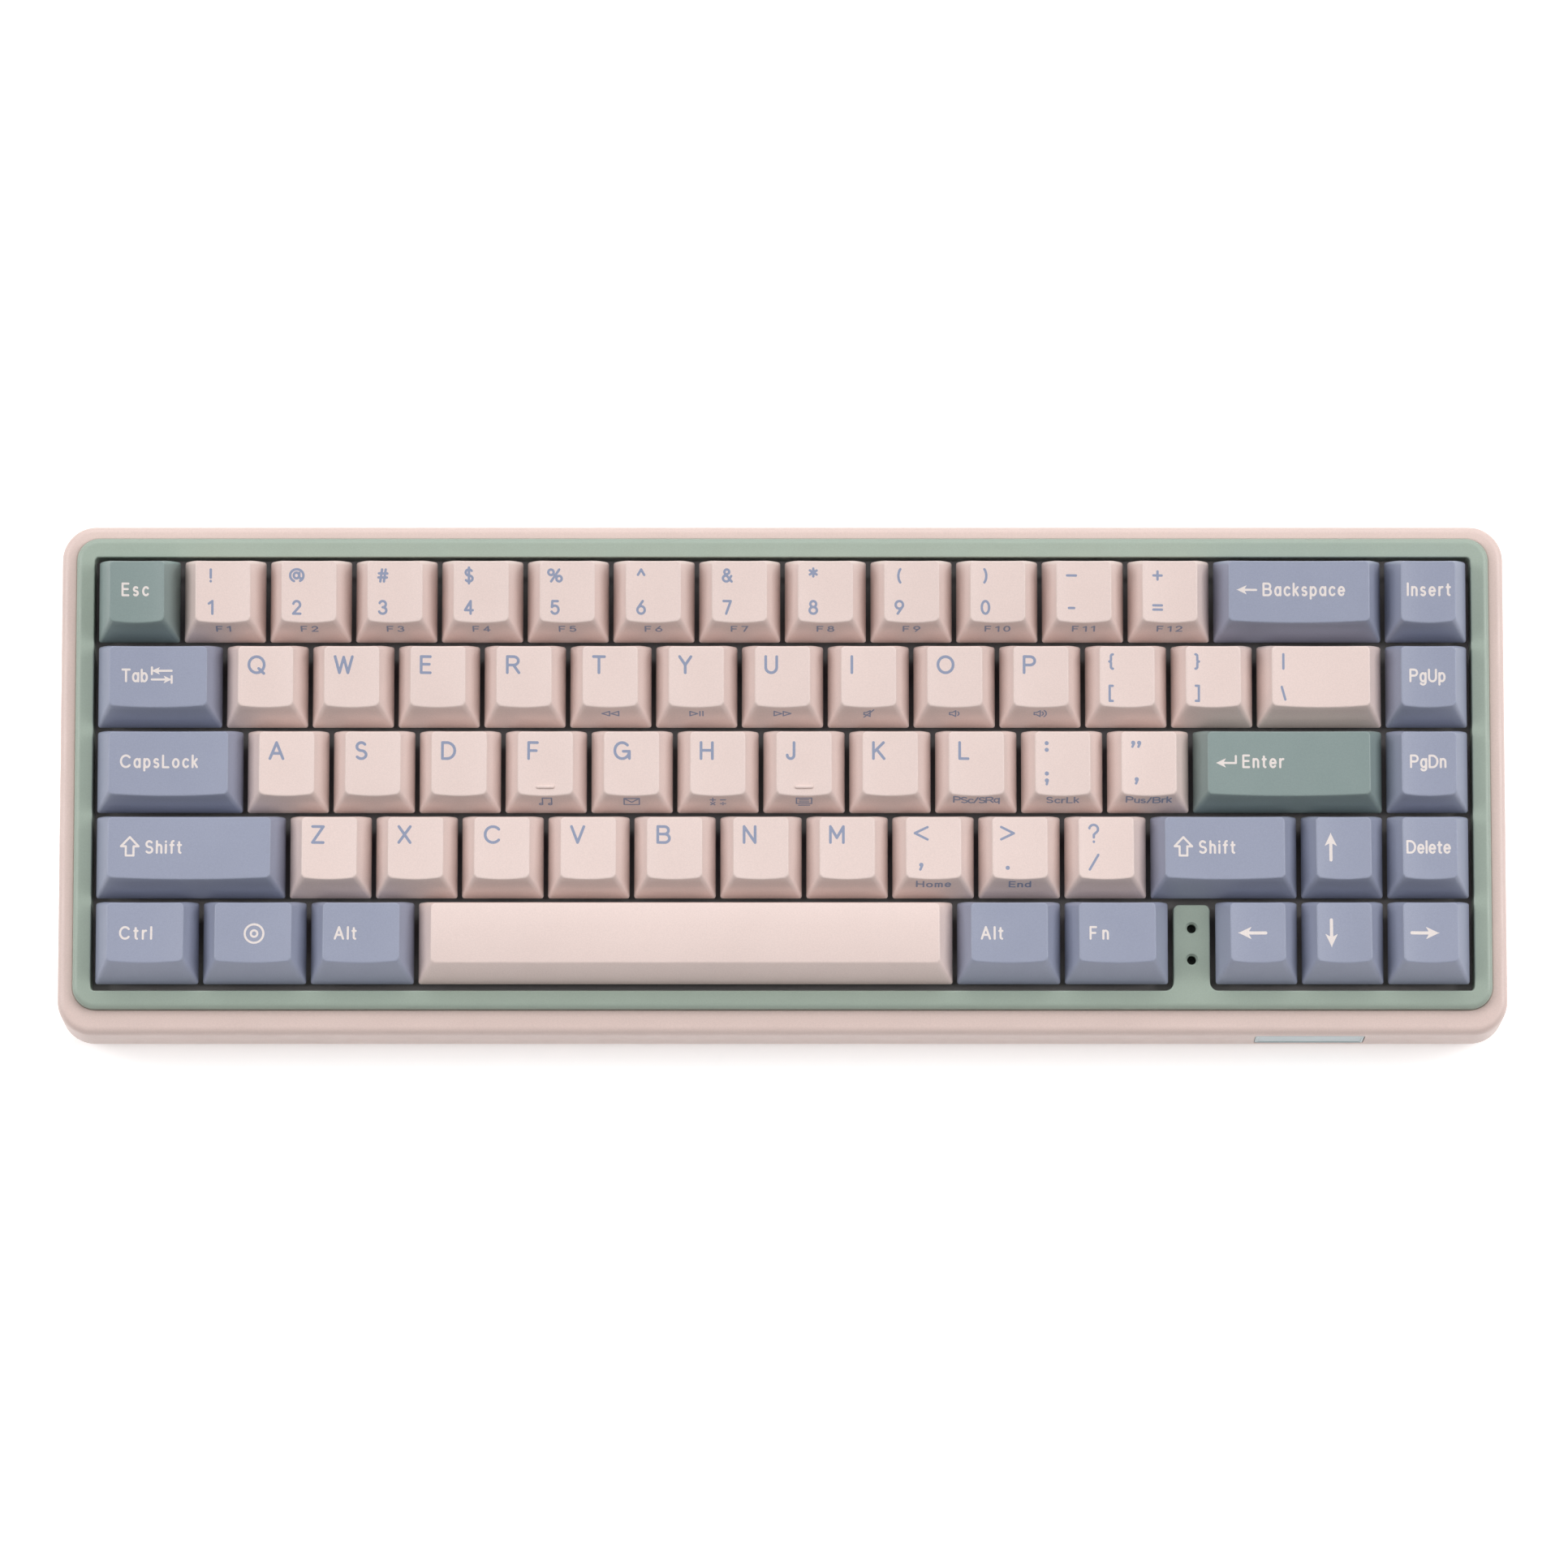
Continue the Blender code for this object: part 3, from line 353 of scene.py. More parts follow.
class Cap:
    """The form of one keycap, in its own frame: its origin is the middle of the skirt's lower edge."""

    def __init__(self, name, row, units):
        self.row = row
        self.half_width = (units * PITCH - SKIRT_GAP) / 2
        self.half_depth = (PITCH - SKIRT_GAP) / 2
        self.back_height, self.front_height = (height * MM for height in CAP_HEIGHTS[row])
        self.top_half = self.half_width - CAP_SIDE_INSET
        self.back_inset, self.front_inset = (inset * MM for inset in CAP_INSETS[row])
        self.top_front = -self.half_depth + self.front_inset
        self.top_back = self.half_depth - self.back_inset
        domed = name == "space"
        self.dish, self.crown, self.bow = (0.0, CAP_CROWN, 0.0) if domed else (CAP_DISH, 0.0, CAP_BOW)
        self.across = max(SIDE_STEPS, round(SIDE_STEPS * units))

    def bowed(self, x, y):
        """How far the top stands back from a straight front edge: nothing in the middle, most at a corner."""
        share = (y - self.top_front) / (self.top_back - self.top_front)
        return self.bow * (1 - share) * (x / self.top_half) ** 2

    def top_height(self, x, y):
        """The top face: a slope from front to back, hollowed across, or crowned on the space bar."""
        share = (y - self.top_front) / (self.top_back - self.top_front)
        slope = self.front_height + (self.back_height - self.front_height) * share
        hollow = self.dish * max(0.0, 1 - (x / self.top_half) ** 2)
        return slope - hollow - self.crown * (2 * share - 1) ** 2

    def outline(self, half_width, front, back, corner):
        """Points round one level, from the middle of the right side, with equal numbers at every level."""
        reach = half_width - corner
        centres = [
            (reach, back - corner, 0), (-reach, back - corner, 90),
            (-reach, front + corner, 180), (reach, front + corner, 270),
        ]
        corners = []
        for x, y, start in centres:
            angles = [math.radians(start + 90 * step / CORNER_STEPS) for step in range(CORNER_STEPS + 1)]
            corners.append([(x + corner * math.cos(a), y + corner * math.sin(a)) for a in angles])
        points = []
        for i, arc in enumerate(corners):
            points += arc
            begin, end = arc[-1], corners[(i + 1) % 4][0]
            count = SIDE_STEPS if i % 2 else self.across
            shares = [step / count for step in range(1, count)]
            points += [tuple(a + (b - a) * share for a, b in zip(begin, end)) for share in shares]
        middle = SIDE_STEPS // 2
        return points[-middle:] + points[:-middle]

    def base_outline(self, inset=0.0):
        depth = self.half_depth - inset
        return self.outline(self.half_width - inset, -depth, depth, CAP_BASE_CORNER)

    def top_outline(self, inset=0.0):
        corner = max(CAP_TOP_CORNER - inset * CAP_CORNER_SHRINK, CAP_LEAST_CORNER)
        flat = self.outline(self.top_half - inset, self.top_front + inset, self.top_back - inset, corner)
        return at([(x, y + self.bowed(x, y)) for x, y in flat], self.top_height)

    def wall(self, share):
        """The outer wall's level at a share of its height, bulging a little between base and top."""
        base = self.base_outline()
        bulge = CAP_BULGE * math.sin(math.pi * share)
        outer = offset(base, bulge)
        level = []
        for (x, y), (bx, by), top in zip(base, outer, self.top_outline()):
            level.append((
                x + (top[0] - x) * share + bx - x,
                y + (top[1] - y) * share + by - y,
                top[2] * share,
            ))
        return level

    def front_point(self, x, rise, out):
        """A point on the front wall, a distance up its slope and out from it."""
        length = math.hypot(self.front_inset, self.front_height)
        share = rise / length
        reach = self.half_width + (self.top_half - self.half_width) * share - CAP_TOP_CORNER
        above = x / reach * (self.top_half - CAP_TOP_CORNER)
        height = self.top_height(above, self.top_front) * share
        lean = Vector((0, -self.front_height, self.front_inset)).normalized()
        y = -self.half_depth + (self.front_inset + self.bowed(above, self.top_front)) * share
        y -= CAP_BULGE * math.sin(math.pi * share)
        return Vector((x, y, height)) + lean * out

    def top_point(self, x, y, out):
        return Vector((x, y, self.top_height(x, y) + out))

    def close(self, shape, ring):
        """A seam across the last level: quads between its front and back halves."""
        count = len(ring)
        shape.faces.append((ring[0], ring[1], ring[-1]))
        for i in range(1, count // 2 - 1):
            shape.faces.append((ring[i], ring[i + 1], ring[count - i - 1], ring[count - i]))
        half = count // 2
        shape.faces.append((ring[half - 1], ring[half], ring[half + 1]))

    def mesh(self, name, place):
        """The cap as a hollow shell: roof, inner wall, lip, outer wall, rounded edge and top face."""
        roof = min(self.back_height, self.front_height) - self.dish - self.crown - CAP_ROOF
        lean = roof / self.front_height
        inner = self.outline(
            self.half_width - CAP_WALL - CAP_SIDE_INSET * lean,
            -self.half_depth + CAP_WALL + self.front_inset * lean,
            self.half_depth - CAP_WALL - self.back_inset * lean,
            CAP_BASE_CORNER,
        )
        last_wall = 1 - CAP_EDGE / self.front_height
        rings = [
            at(inner, roof),
            at(self.base_outline(CAP_WALL), CAP_LIP),
            at(self.base_outline(CAP_WALL - CAP_LIP), 0),
            at(self.base_outline(CAP_LIP), 0),
            at(self.base_outline(CAP_LIP * CAP_LIP_BEND), CAP_LIP * CAP_LIP_BEND),
        ]
        first_wall = CAP_LIP / self.front_height
        for step in range(WALL_STEPS + 1):
            rings.append(self.wall(first_wall + (last_wall - first_wall) * step / WALL_STEPS))
        low, crest, high = rings[-1], self.top_outline(), self.top_outline(CAP_EDGE)
        for step in range(1, EDGE_STEPS + 1):
            share = step / EDGE_STEPS
            weights = ((1 - share) ** 2, 2 * share * (1 - share), share ** 2)
            rings.append([
                tuple(sum(w * p[axis] for w, p in zip(weights, trio)) for axis in range(3))
                for trio in zip(low, crest, high)
            ])
        rings += [self.top_outline(CAP_EDGE + inset) for inset in TOP_INSETS]
        shape = Shape()
        first, last = shape.stack(rings)
        self.close(shape, first)
        self.close(shape, last)
        boss = circle(BOSS_R, sides=24)
        shape.solid([at(boss, roof + CAP_ROOF / 2), at(boss, SLIDER_Z[1] + GAP)])
        return shape.mesh(name, place, 50)


def slider_mesh(name, place):
    """The switch's slider under a cap: a block with the cross that the cap is pressed on."""
    block = rounded_rectangle(SLIDER_SIZE, SLIDER_CORNER, 4)
    cross = cross_outline(CROSS_REACH, CROSS_HALF)
    shape = Shape()
    low, high = shape.stack([at(block, SLIDER_Z[0]), at(block, SLIDER_Z[1])])
    foot, tip = shape.stack([at(cross, SLIDER_Z[1]), at(cross, SLIDER_Z[1] + CROSS_LENGTH)])
    shape.fill(low)
    shape.fill(high, foot)
    shape.fill(tip)
    return shape.mesh(name, place)


def homing_mesh(name, cap, place):
    """The raised bar that a finger finds on two of the keys."""
    bar = rounded_rectangle(HOMING_SIZE, HOMING_SIZE[1] / 2 - 0.01 * MM, 8, (0, HOMING_Y))
    levels = [(0.0, -HOMING_SINK)]
    levels += [(HOMING_RISE * inset, HOMING_RISE * (1 - drop)) for inset, drop in round_over(1.0)]
    rings = [
        [cap.top_point(x, y, rise) for x, y in offset(bar, -inset * HOMING_ROUND)] for inset, rise in levels
    ]
    return Shape().solid(rings).mesh(name, place, 60)


# ---- Legends ----


def line(*numbers):
    """A stroke through points, given as x, y, x, y and so on."""
    return list(zip(numbers[::2], numbers[1::2]))


def arc(x, y, across, up, start, end):
    """A stroke along part of an ellipse, between two angles."""
    count = max(3, math.ceil(abs(end - start) / 15))
    angles = [math.radians(start + (end - start) * step / count) for step in range(count + 1)]
    return [(x + across * math.cos(a), y + up * math.sin(a)) for a in angles]


def dot(x, y):
    """A stroke so short that the pen leaves a dot."""
    return line(x, y - 0.015, x, y + 0.015)


def blob(x, y):
    """A round point, bigger than a dot."""
    return arc(x, y, 0.07, 0.07, 0, 360)


def head(x, y, angle, size=0.75):
    """A filled, swept arrow head with its tip at a point, as two thin triangles."""
    turn = math.radians(angle)
    wing = [(-size, HEAD_HALF * size), (-HEAD_NOTCH * size, 0.0), (-size, -HEAD_HALF * size)]
    spun = [
        (x + a * math.cos(turn) - b * math.sin(turn), y + a * math.sin(turn) + b * math.cos(turn))
        for a, b in wing
    ]
    return [("fill", [(x, y), spun[0], spun[1]]), ("fill", [(x, y), spun[1], spun[2]])]


# The stroke font. Each row is a glyph's name, its width and its strokes, with capitals one unit high. Strokes
# are parted by ; and joined by +. A stroke is x and y in turn, or starts with the letter of a form in FORMS.
# A row that is set in goes on with the row before.
FORMS = {"o": arc, "d": dot, "b": blob, "h": head}
STROKE_FONT = r"""
A .8 0 0 .4 1 .8 0; .14 .33 .66 .33
B .72 .42 1 0 1 0 0 .43 0; 0 .53 .42 .53; o .42 .765 .24 .235 90 -90; o .43 .265 .29 .265 90 -90
C .86 o .48 .5 .48 .5 42 318
D .76 .28 1 0 1 0 0 .28 0; o .28 .5 .48 .5 90 -90
E .56 .56 1 0 1 0 0 .56 0; 0 .53 .5 .53
F .54 .54 1 0 1 0 0; 0 .5 .47 .5
G .9 o .45 .5 .45 .5 44 355; .52 .46 .9 .46 .9 .02
H .7 0 0 0 1; .7 0 .7 1; 0 .52 .7 .52
I 0 0 0 0 1
J .42 .42 1 .42 .22; o .21 .22 .21 .22 0 -180
K .66 0 0 0 1; .62 1 0 .38; .2 .58 .66 0
L .52 0 1 0 0 .52 0
M .8 0 0 0 1 .4 .3 .8 1 .8 0
N .68 0 0 0 1 .68 0 .68 1
O .94 o .47 .5 .47 .5 0 360
P .66 0 0 0 1 .38 1; o .38 .74 .28 .26 90 -90; .38 .48 0 .48
Q .94 o .47 .5 .47 .5 0 360; .6 .27 .92 -.04
R .72 0 0 0 1 .39 1; o .39 .74 .29 .26 90 -90; .39 .48 0 .48; .38 .48 .72 0
S .62 o .31 .75 .27 .25 35 270; o .31 .25 .3 .25 90 -145
T .68 0 1 .68 1; .34 1 .34 0
U .68 0 1 0 .34; o .34 .34 .34 .34 180 360; .68 .34 .68 1
V .76 0 1 .38 0 .76 1
W 1.06 0 1 .27 0 .53 .97 .79 0 1.06 1
X .7 0 0 .7 1; 0 1 .7 0
Y .7 0 1 .35 .48 .7 1; .35 .48 .35 0
Z .66 0 1 .66 1 0 0 .66 0
0 .58 o .29 .5 .29 .5 0 360
1 .28 0 .8 .28 1 .28 0
2 .56 o .28 .71 .27 .29 165 -22 + .53 .6 0 0 .57 0
3 .56 o .27 .755 .25 .245 160 -90; o .27 .255 .29 .255 90 -160
4 .6 .44 0 .44 1 0 .28 .6 .28
5 .56 .5 1 .08 1 .04 .53; o .27 .32 .29 .32 140 -150
6 .58 o .29 .3 .29 .3 0 360; .42 1 .05 .46
7 .56 0 1 .56 1 .2 0
8 .58 o .29 .765 .23 .235 0 360; o .29 .265 .29 .265 0 360
9 .58 o .29 .7 .29 .3 0 360; .16 0 .53 .54
a .5 o .25 .35 .25 .35 0 360; .5 .7 .5 0
b .5 o .25 .35 .25 .35 0 360; 0 1 0 0
c .46 o .27 .35 .27 .35 45 315
d .5 o .25 .35 .25 .35 0 360; .5 1 .5 0
e .52 o .26 .35 .26 .35 0 318; 0 .36 .52 .36
f .3 o .3 .82 .17 .2 90 180; .13 .82 .13 0; 0 .68 .3 .68
g .5 o .25 .35 .25 .35 0 360; .5 .7 .5 -.06; o .25 -.06 .25 .22 0 -150
h .44 0 1 0 0; o .22 .46 .22 .24 180 0; .44 .46 .44 0
i 0 0 .7 0 0; d 0 .97
k .42 0 1 0 0; .4 .7 0 .27; .14 .42 .42 0
l 0 0 1 0 0
m .68 0 .7 0 0; o .17 .5 .17 .2 180 0; .34 .5 .34 0; o .51 .5 .17 .2 180 0; .68 .5 .68 0
n .44 0 .7 0 0; o .22 .46 .22 .24 180 0; .44 .46 .44 0
o .54 o .27 .35 .27 .35 0 360
p .5 o .25 .35 .25 .35 0 360; 0 .7 0 -.28
q .5 o .25 .35 .25 .35 0 360; .5 .7 .5 -.28
r .28 0 .7 0 0; o .26 .42 .26 .28 180 80
s .4 o .2 .53 .18 .17 40 270; o .2 .18 .2 .18 90 -140
t .3 .12 .92 .12 .16; o .28 .16 .16 .16 180 265; 0 .68 .3 .68
u .44 0 .7 0 .24; o .22 .24 .22 .24 180 360; .44 .7 .44 0
! 0 0 1 0 .32; d 0 .03
@ 1.1 o .55 .5 .55 .52 -60 245; o .52 .5 .22 .24 0 360; .76 .72 .76 .42; o .93 .44 .17 .2 180 330
# .74 .16 0 .3 1; .46 0 .6 1; .04 .67 .74 .67; 0 .33 .7 .33
$ .62 o .31 .75 .27 .25 35 270; o .31 .25 .3 .25 90 -145; .31 1.16 .31 -.16
% 1.15 o .24 .76 .22 .23 0 360; o .91 .24 .22 .23 0 360; .92 1 .25 0
^ .52 0 .55 .26 1 .52 .55
& .74 .74 0 .17 .68 + o .34 .8 .2 .2 210 -35; .5 .69 .15 .45; o .29 .26 .27 .26 120 320; .49 .09 .7 .46
* .56 .28 1.08 .28 .42; 0 .92 .56 .58; 0 .58 .56 .92
( .24 o .5 .47 .46 .72 130 230
_ .74 0 .5 .74 .5
- .42 0 .45 .42 .45
+ .68 0 .5 .68 .5; .34 .16 .34 .84
= .68 0 .66 .68 .66; 0 .32 .68 .32
{ .3 o .3 .95 .16 .15 90 180; .14 .95 .14 .64; o 0 .64 .14 .14 0 -90; o 0 .36 .14 .14 90 0;
  .14 .36 .14 .05; o .3 .05 .16 .15 180 270
[ .24 .24 1.1 0 1.1 0 -.1 .24 -.1
] .24 0 1.1 .24 1.1 .24 -.1 0 -.1
| 0 0 1.1 0 -.1
\ .28 0 1 .28 0
: 0 b 0 .86; b 0 .3
; .1 b .05 .95; b .05 .4; .11 .38 .04 .1
quote .8 b .12 .9; .2 .86 .06 .56; b .62 .9; .7 .86 .56 .56
' .2 b .1 .5; .17 .46 .04 .16
< 1.05 1.05 1.02 0 .5 1.05 -.02
> 1.05 0 1.02 1.05 .5 0 -.02
, .2 b .1 .5; .17 .46 .02 .12
. .04 b .02 .26
? .76 o .37 .85 .36 .36 170 -45 + .62 .6 .38 .38 .38 .15; d .38 -.22
/ .68 0 .12 .68 1.3
~ .4 0 0 .4 1
left 1.55 .3 .45 1.55 .45; h -.05 .45 180
shift 1.5 .75 1.35 0 .55 .42 .55 .42 -.25 1.08 -.25 1.08 .55 1.5 .55 .75 1.35
tab 1.7 0 1.2 0 .62; .5 .91 1.7 .91; 1.7 .45 1.7 -.13; 0 .16 1.2 .16; h .05 .91 180 .6; h 1.65 .16 0 .6
return 1.6 .3 .35 1.6 .35 1.6 .95; h -.05 .35 180
system 1.7 o .85 .45 .8 .8 0 360; o .85 .45 .28 .28 0 360
play 1.28 0 .2 0 .8 .75 .5 0 .2; .98 .2 .98 .8; 1.28 .2 1.28 .8
forward 1.65 0 .2 0 .8 .75 .5 0 .2; .9 .2 .9 .8 1.65 .5 .9 .2
mute .9 0 .35 .25 .35 .6 .1 .6 .9 .25 .65 0 .65 0 .35; 0 0 .95 1
quieter 1 0 .35 .25 .35 .6 .1 .6 .9 .25 .65 0 .65 0 .35; o .6 .5 .32 .32 -50 50
louder 1.3 0 .35 .25 .35 .6 .1 .6 .9 .25 .65 0 .65 0 .35; o .6 .5 .3 .3 -50 50; o .6 .5 .6 .55 -50 50
music 1.3 .35 .12 .35 1 1.25 1 1.25 .12; o .2 .12 .16 .12 0 360; o 1.1 .12 .16 .12 0 360
mail 1.5 0 .05 1.5 .05 1.5 .95 0 .95 0 .05; 0 .95 .75 .4 1.5 .95
sums 1.5 0 .75 .5 .75; .25 .5 .25 1; 1 .75 1.5 .75; .05 .38 .45 0; .45 .38 .05 0; 1 .19 1.5 .19;
  d 1.25 .38; d 1.25 0
screen 1.5 0 .2 0 1 1.5 1 1.5 .2 0 .2; .3 .74 1.2 .74; .3 .46 1.2 .46; .2 -.06 1.3 -.06
"""
MIRRORED = {")": "(", "}": "{", "rewind": "forward"}


def read_stroke(text):
    """The strokes of one entry of the font: a single one, or the two halves of an arrow head."""
    joined = []
    for part in text.split("+"):
        words = part.split()
        form = FORMS.get(words[0], line)
        joined += form(*[float(word) for word in words if word not in FORMS])
    return joined if joined[0][0] == "fill" else [joined]


def read_font():
    glyphs = {}
    for row in STROKE_FONT.replace("\n  ", " ").strip().splitlines():
        name, width, entries = row.split(None, 2)
        strokes = [stroke for entry in entries.split(";") for stroke in read_stroke(entry)]
        glyphs[name] = (float(width), strokes)
    for name, source in MIRRORED.items():
        width, strokes = glyphs[source]
        glyphs[name] = (width, [[(width - x, y) for x, y in stroke] for stroke in strokes])
    return glyphs


GLYPHS = read_font()

PAIRS = {
    "1": "!1", "2": "@2", "3": "#3", "4": "$4", "5": "%5", "6": "^6", "7": "&7", "8": "*8", "9": "(9",
    "0": ")0", "minus": "_-", "equals": "+=", "bracket_left": "{[", "bracket_right": "}]",
    "backslash": "|\\", "semicolon": ":;", "quote": ("quote", "'"), "comma": "<,", "period": ">.",
    "slash": "?/",
}
LEFTISH_PAIRS = ("bracket_left", "bracket_right", "backslash", "semicolon")
WORDS = {
    "esc": ["Esc"], "backspace": ["left", "Backspace"], "insert": ["Insert"], "tab": ["Tab", "tab"],
    "page_up": ["PgUp"], "caps_lock": ["CapsLock"], "enter": ["return", "Enter"], "page_down": ["PgDn"],
    "left_shift": ["shift", "Shift"], "right_shift": ["shift", "Shift"], "delete": ["Delete"],
    "left_ctrl": ["Ctrl"], "left_alt": ["Alt"], "right_alt": ["Alt"], "fn": ["Fn"], "system": ["system"],
}
# Where each word starts, from the key's left side, and the space between its letters.
WORD_PLACES = {
    "esc": (5.9, 0.46), "backspace": (5.1, 0.37), "insert": (4.55, 0.38), "tab": (6.0, 0.3),
    "page_up": (5.05, 0.29), "caps_lock": (5.8, 0.4), "enter": (5.1, 0.39), "page_down": (5.05, 0.29),
    "left_shift": (6.0, 0.38), "right_shift": (5.1, 0.38), "delete": (4.05, 0.265), "left_ctrl": (6.0, 0.46),
    "left_alt": (5.7, 0.4), "right_alt": (5.35, 0.4), "fn": (5.5, 0.62), "system": (9.5, 0.0),
}
FRONTS = {
    "1": "F1", "2": "F2", "3": "F3", "4": "F4", "5": "F5", "6": "F6", "7": "F7", "8": "F8", "9": "F9",
    "0": "F10", "minus": "F11", "equals": "F12", "t": "rewind", "y": "play", "u": "forward", "i": "mute",
    "o": "quieter", "p": "louder", "f": "music", "g": "mail", "h": "sums", "j": "screen", "l": "PSc~SRq",
    "semicolon": "ScrLk", "quote": "Pus~Brk", "comma": "Home", "period": "End",
}
FRONT_TRACKINGS = {"PSc~SRq": 0.13, "ScrLk": 0.26, "Pus~Brk": 0.23, "Home": 0.36, "End": 0.34}
ARROWS = {"arrow_up": 90, "arrow_down": 270, "arrow_left": 180, "arrow_right": 0}
ARROW_PEN, ARROW_LENGTH, ARROW_HEAD, ARROW_OVERLAP = 0.7, 5.8, 2.5, 0.6
ARROW_X = {90: -2.85, 270: -2.85, 180: -1.2, 0: -1.3}


def set_text(text, height, x, y, tracking, centred=False, narrow=1.0):
    """Strokes of a line of text or of one symbol, in millimetres, and where it ends."""
    glyphs = [text] if text in GLYPHS else list(text)
    width = sum(GLYPHS[glyph][0] * narrow for glyph in glyphs) + tracking * (len(glyphs) - 1)
    cursor = x - width * height / 2 if centred else x
    strokes = []
    for glyph in glyphs:
        for stroke in GLYPHS[glyph][1]:
            filled = stroke[0] == "fill"
            outline = stroke[1] if filled else stroke
            points = [(cursor + a * height * narrow, y + b * height) for a, b in outline]
            strokes.append(("fill", points) if filled else points)
        cursor += (GLYPHS[glyph][0] * narrow + tracking) * height
    return strokes, cursor - tracking * height


def arrow_strokes(angle):
    turn = math.radians(angle)
    x, y, half = ARROW_X[angle], WORD_Y + WORD_HEIGHT / 2, ARROW_LENGTH / 2
    tip = (x + half * math.cos(turn), y + half * math.sin(turn))
    reach = ARROW_HEAD * ARROW_OVERLAP
    shaft = line(x - half * math.cos(turn), y - half * math.sin(turn),
                 tip[0] - reach * math.cos(turn), tip[1] - reach * math.sin(turn))
    return [shaft] + head(*tip, angle, ARROW_HEAD)


def top_strokes(name, cap):
    """What is printed on a key's top face, and the pen it is drawn with."""
    side = cap.half_width / MM
    if name in PAIRS:
        middle = PAIR_INSET - side - (LEFTISH_SHIFT if name in LEFTISH_PAIRS else 0.0)
        upper = set_text(PAIRS[name][0], UPPER_HEIGHT, middle, PAIR_Y[1], 0, True)[0]
        return upper + set_text(PAIRS[name][1], PAIR_HEIGHT, middle, PAIR_Y[0], 0, True)[0], PAIR_PEN
    if name in ARROWS:
        return arrow_strokes(ARROWS[name]), ARROW_PEN
    if name in WORDS:
        start, tracking = WORD_PLACES[name]
        cursor, strokes = start - side, []
        for word in WORDS[name]:
            narrow = 1.0 if word in GLYPHS else WORD_NARROW
            made, cursor = set_text(word, WORD_HEIGHT, cursor, WORD_Y, tracking, False, narrow)
            strokes += made
            cursor += SYMBOL_GAP if word in GLYPHS else TEXT_GAP
        return strokes, WORD_PEN
    if len(name) == 1:
        return set_text(name.upper(), LETTER_HEIGHT, LETTER_X, LETTER_YS[cap.row], 0)[0], LETTER_PEN
    return [], 0.0


def ink_field(strokes, pen):
    """A grid over the strokes with, at each node, how far it is outside the ink."""
    plain = [stroke[1] if stroke[0] == "fill" else stroke for stroke in strokes]
    points = np.array([point for stroke in plain for point in stroke])
    margin = pen / 2 + 2 * LEGEND_STEP
    low, high = points.min(0) - margin, points.max(0) + margin
    xs, ys = (np.arange(low[axis], high[axis] + LEGEND_STEP, LEGEND_STEP) for axis in (0, 1))
    gx, gy = np.meshgrid(xs, ys, indexing="ij")
    field = np.full(gx.shape, 1e3)
    for stroke in strokes:
        if stroke[0] == "fill":
            corners = stroke[1]
            first, second = (Vector(corner) - Vector(corners[0]) for corner in corners[1:])
            turn = math.copysign(1.0, first.cross(second))
            sides = []
            for (ax, ay), (bx, by) in zip(corners, corners[1:] + corners[:1]):
                length = math.hypot(bx - ax, by - ay)
                sides.append(turn * ((gx - ax) * (by - ay) - (gy - ay) * (bx - ax)) / length)
            field = np.minimum(field, np.max(sides, axis=0) - pen * FILL_GROWTH)
            continue
        for (ax, ay), (bx, by) in zip(stroke, stroke[1:]):
            dx, dy = bx - ax, by - ay
            share = np.clip(((gx - ax) * dx + (gy - ay) * dy) / max(dx * dx + dy * dy, 1e-9), 0, 1)
            field = np.minimum(field, np.hypot(gx - ax - share * dx, gy - ay - share * dy) - pen / 2)
    return xs, ys, field


def ink_cells(xs, ys, field):
    """The inked area as small flat faces: whole grid cells, and cells cut where the edge runs."""
    points, index, faces = [], {}, []

    def corner(i, j):
        if (i, j) not in index:
            index[i, j] = len(points)
            points.append((xs[i], ys[j]))
        return index[i, j]

    def crossing(a, b):
        a, b = min(a, b), max(a, b)
        if (a, b) not in index:
            share = min(0.9, max(0.1, field[a] / (field[a] - field[b])))
            start, end = (np.array((xs[i], ys[j])) for i, j in (a, b))
            index[a, b] = len(points)
            points.append(tuple(start + (end - start) * share))
        return index[a, b]

    inside = field < 0
    touched = inside[:-1, :-1] | inside[1:, :-1] | inside[1:, 1:] | inside[:-1, 1:]
    for i, j in np.argwhere(touched):
        cell = [(i, j), (i + 1, j), (i + 1, j + 1), (i, j + 1)]
        face = []
        for a, b in zip(cell, cell[1:] + cell[:1]):
            if inside[a]:
                face.append(corner(*a))
            if inside[a] != inside[b]:
                face.append(crossing(a, b))
        faces.append(face)
    return points, faces


def add_ink(shape, strokes, pen, lift):
    """Ink as a thin inlay: its face lies just proud of the cap, and its sides go down into it."""
    points, faces = ink_cells(*ink_field(strokes, pen))
    upper = shape.ring(lift(x * MM, y * MM, LEGEND_RISE) for x, y in points)
    lower = shape.ring(lift(x * MM, y * MM, LEGEND_DEPTH) for x, y in points)
    edges = {}
    for face in faces:
        shape.faces.append(tuple(upper[i] for i in face))
        shape.faces.append(tuple(lower[i] for i in reversed(face)))
        for a, b in zip(face, face[1:] + face[:1]):
            if (b, a) in edges:
                del edges[b, a]
            else:
                edges[a, b] = True
    shape.faces += [(upper[b], upper[a], lower[a], lower[b]) for a, b in edges]


def legend_mesh(name, key, cap, place):
    """All the ink of one key, on its top and its front, or None."""
    shape = Shape()
    strokes, pen = top_strokes(key, cap)
    if strokes:
        add_ink(shape, strokes, pen, cap.top_point)
    if key in FRONTS:
        height, stretch, rises = FRONT_SYMBOL if FRONTS[key] in GLYPHS else FRONT_TEXT
        tracking = FRONT_TRACKINGS.get(FRONTS[key], FRONT_TRACKING)
        made = set_text(FRONTS[key], height, 0.0, rises[cap.row], tracking, True)[0]
        add_ink(shape, made, FRONT_PEN, lambda x, rise, out: cap.front_point(x * stretch, rise, out))
    return shape.mesh(name, place, 40) if shape.points else None


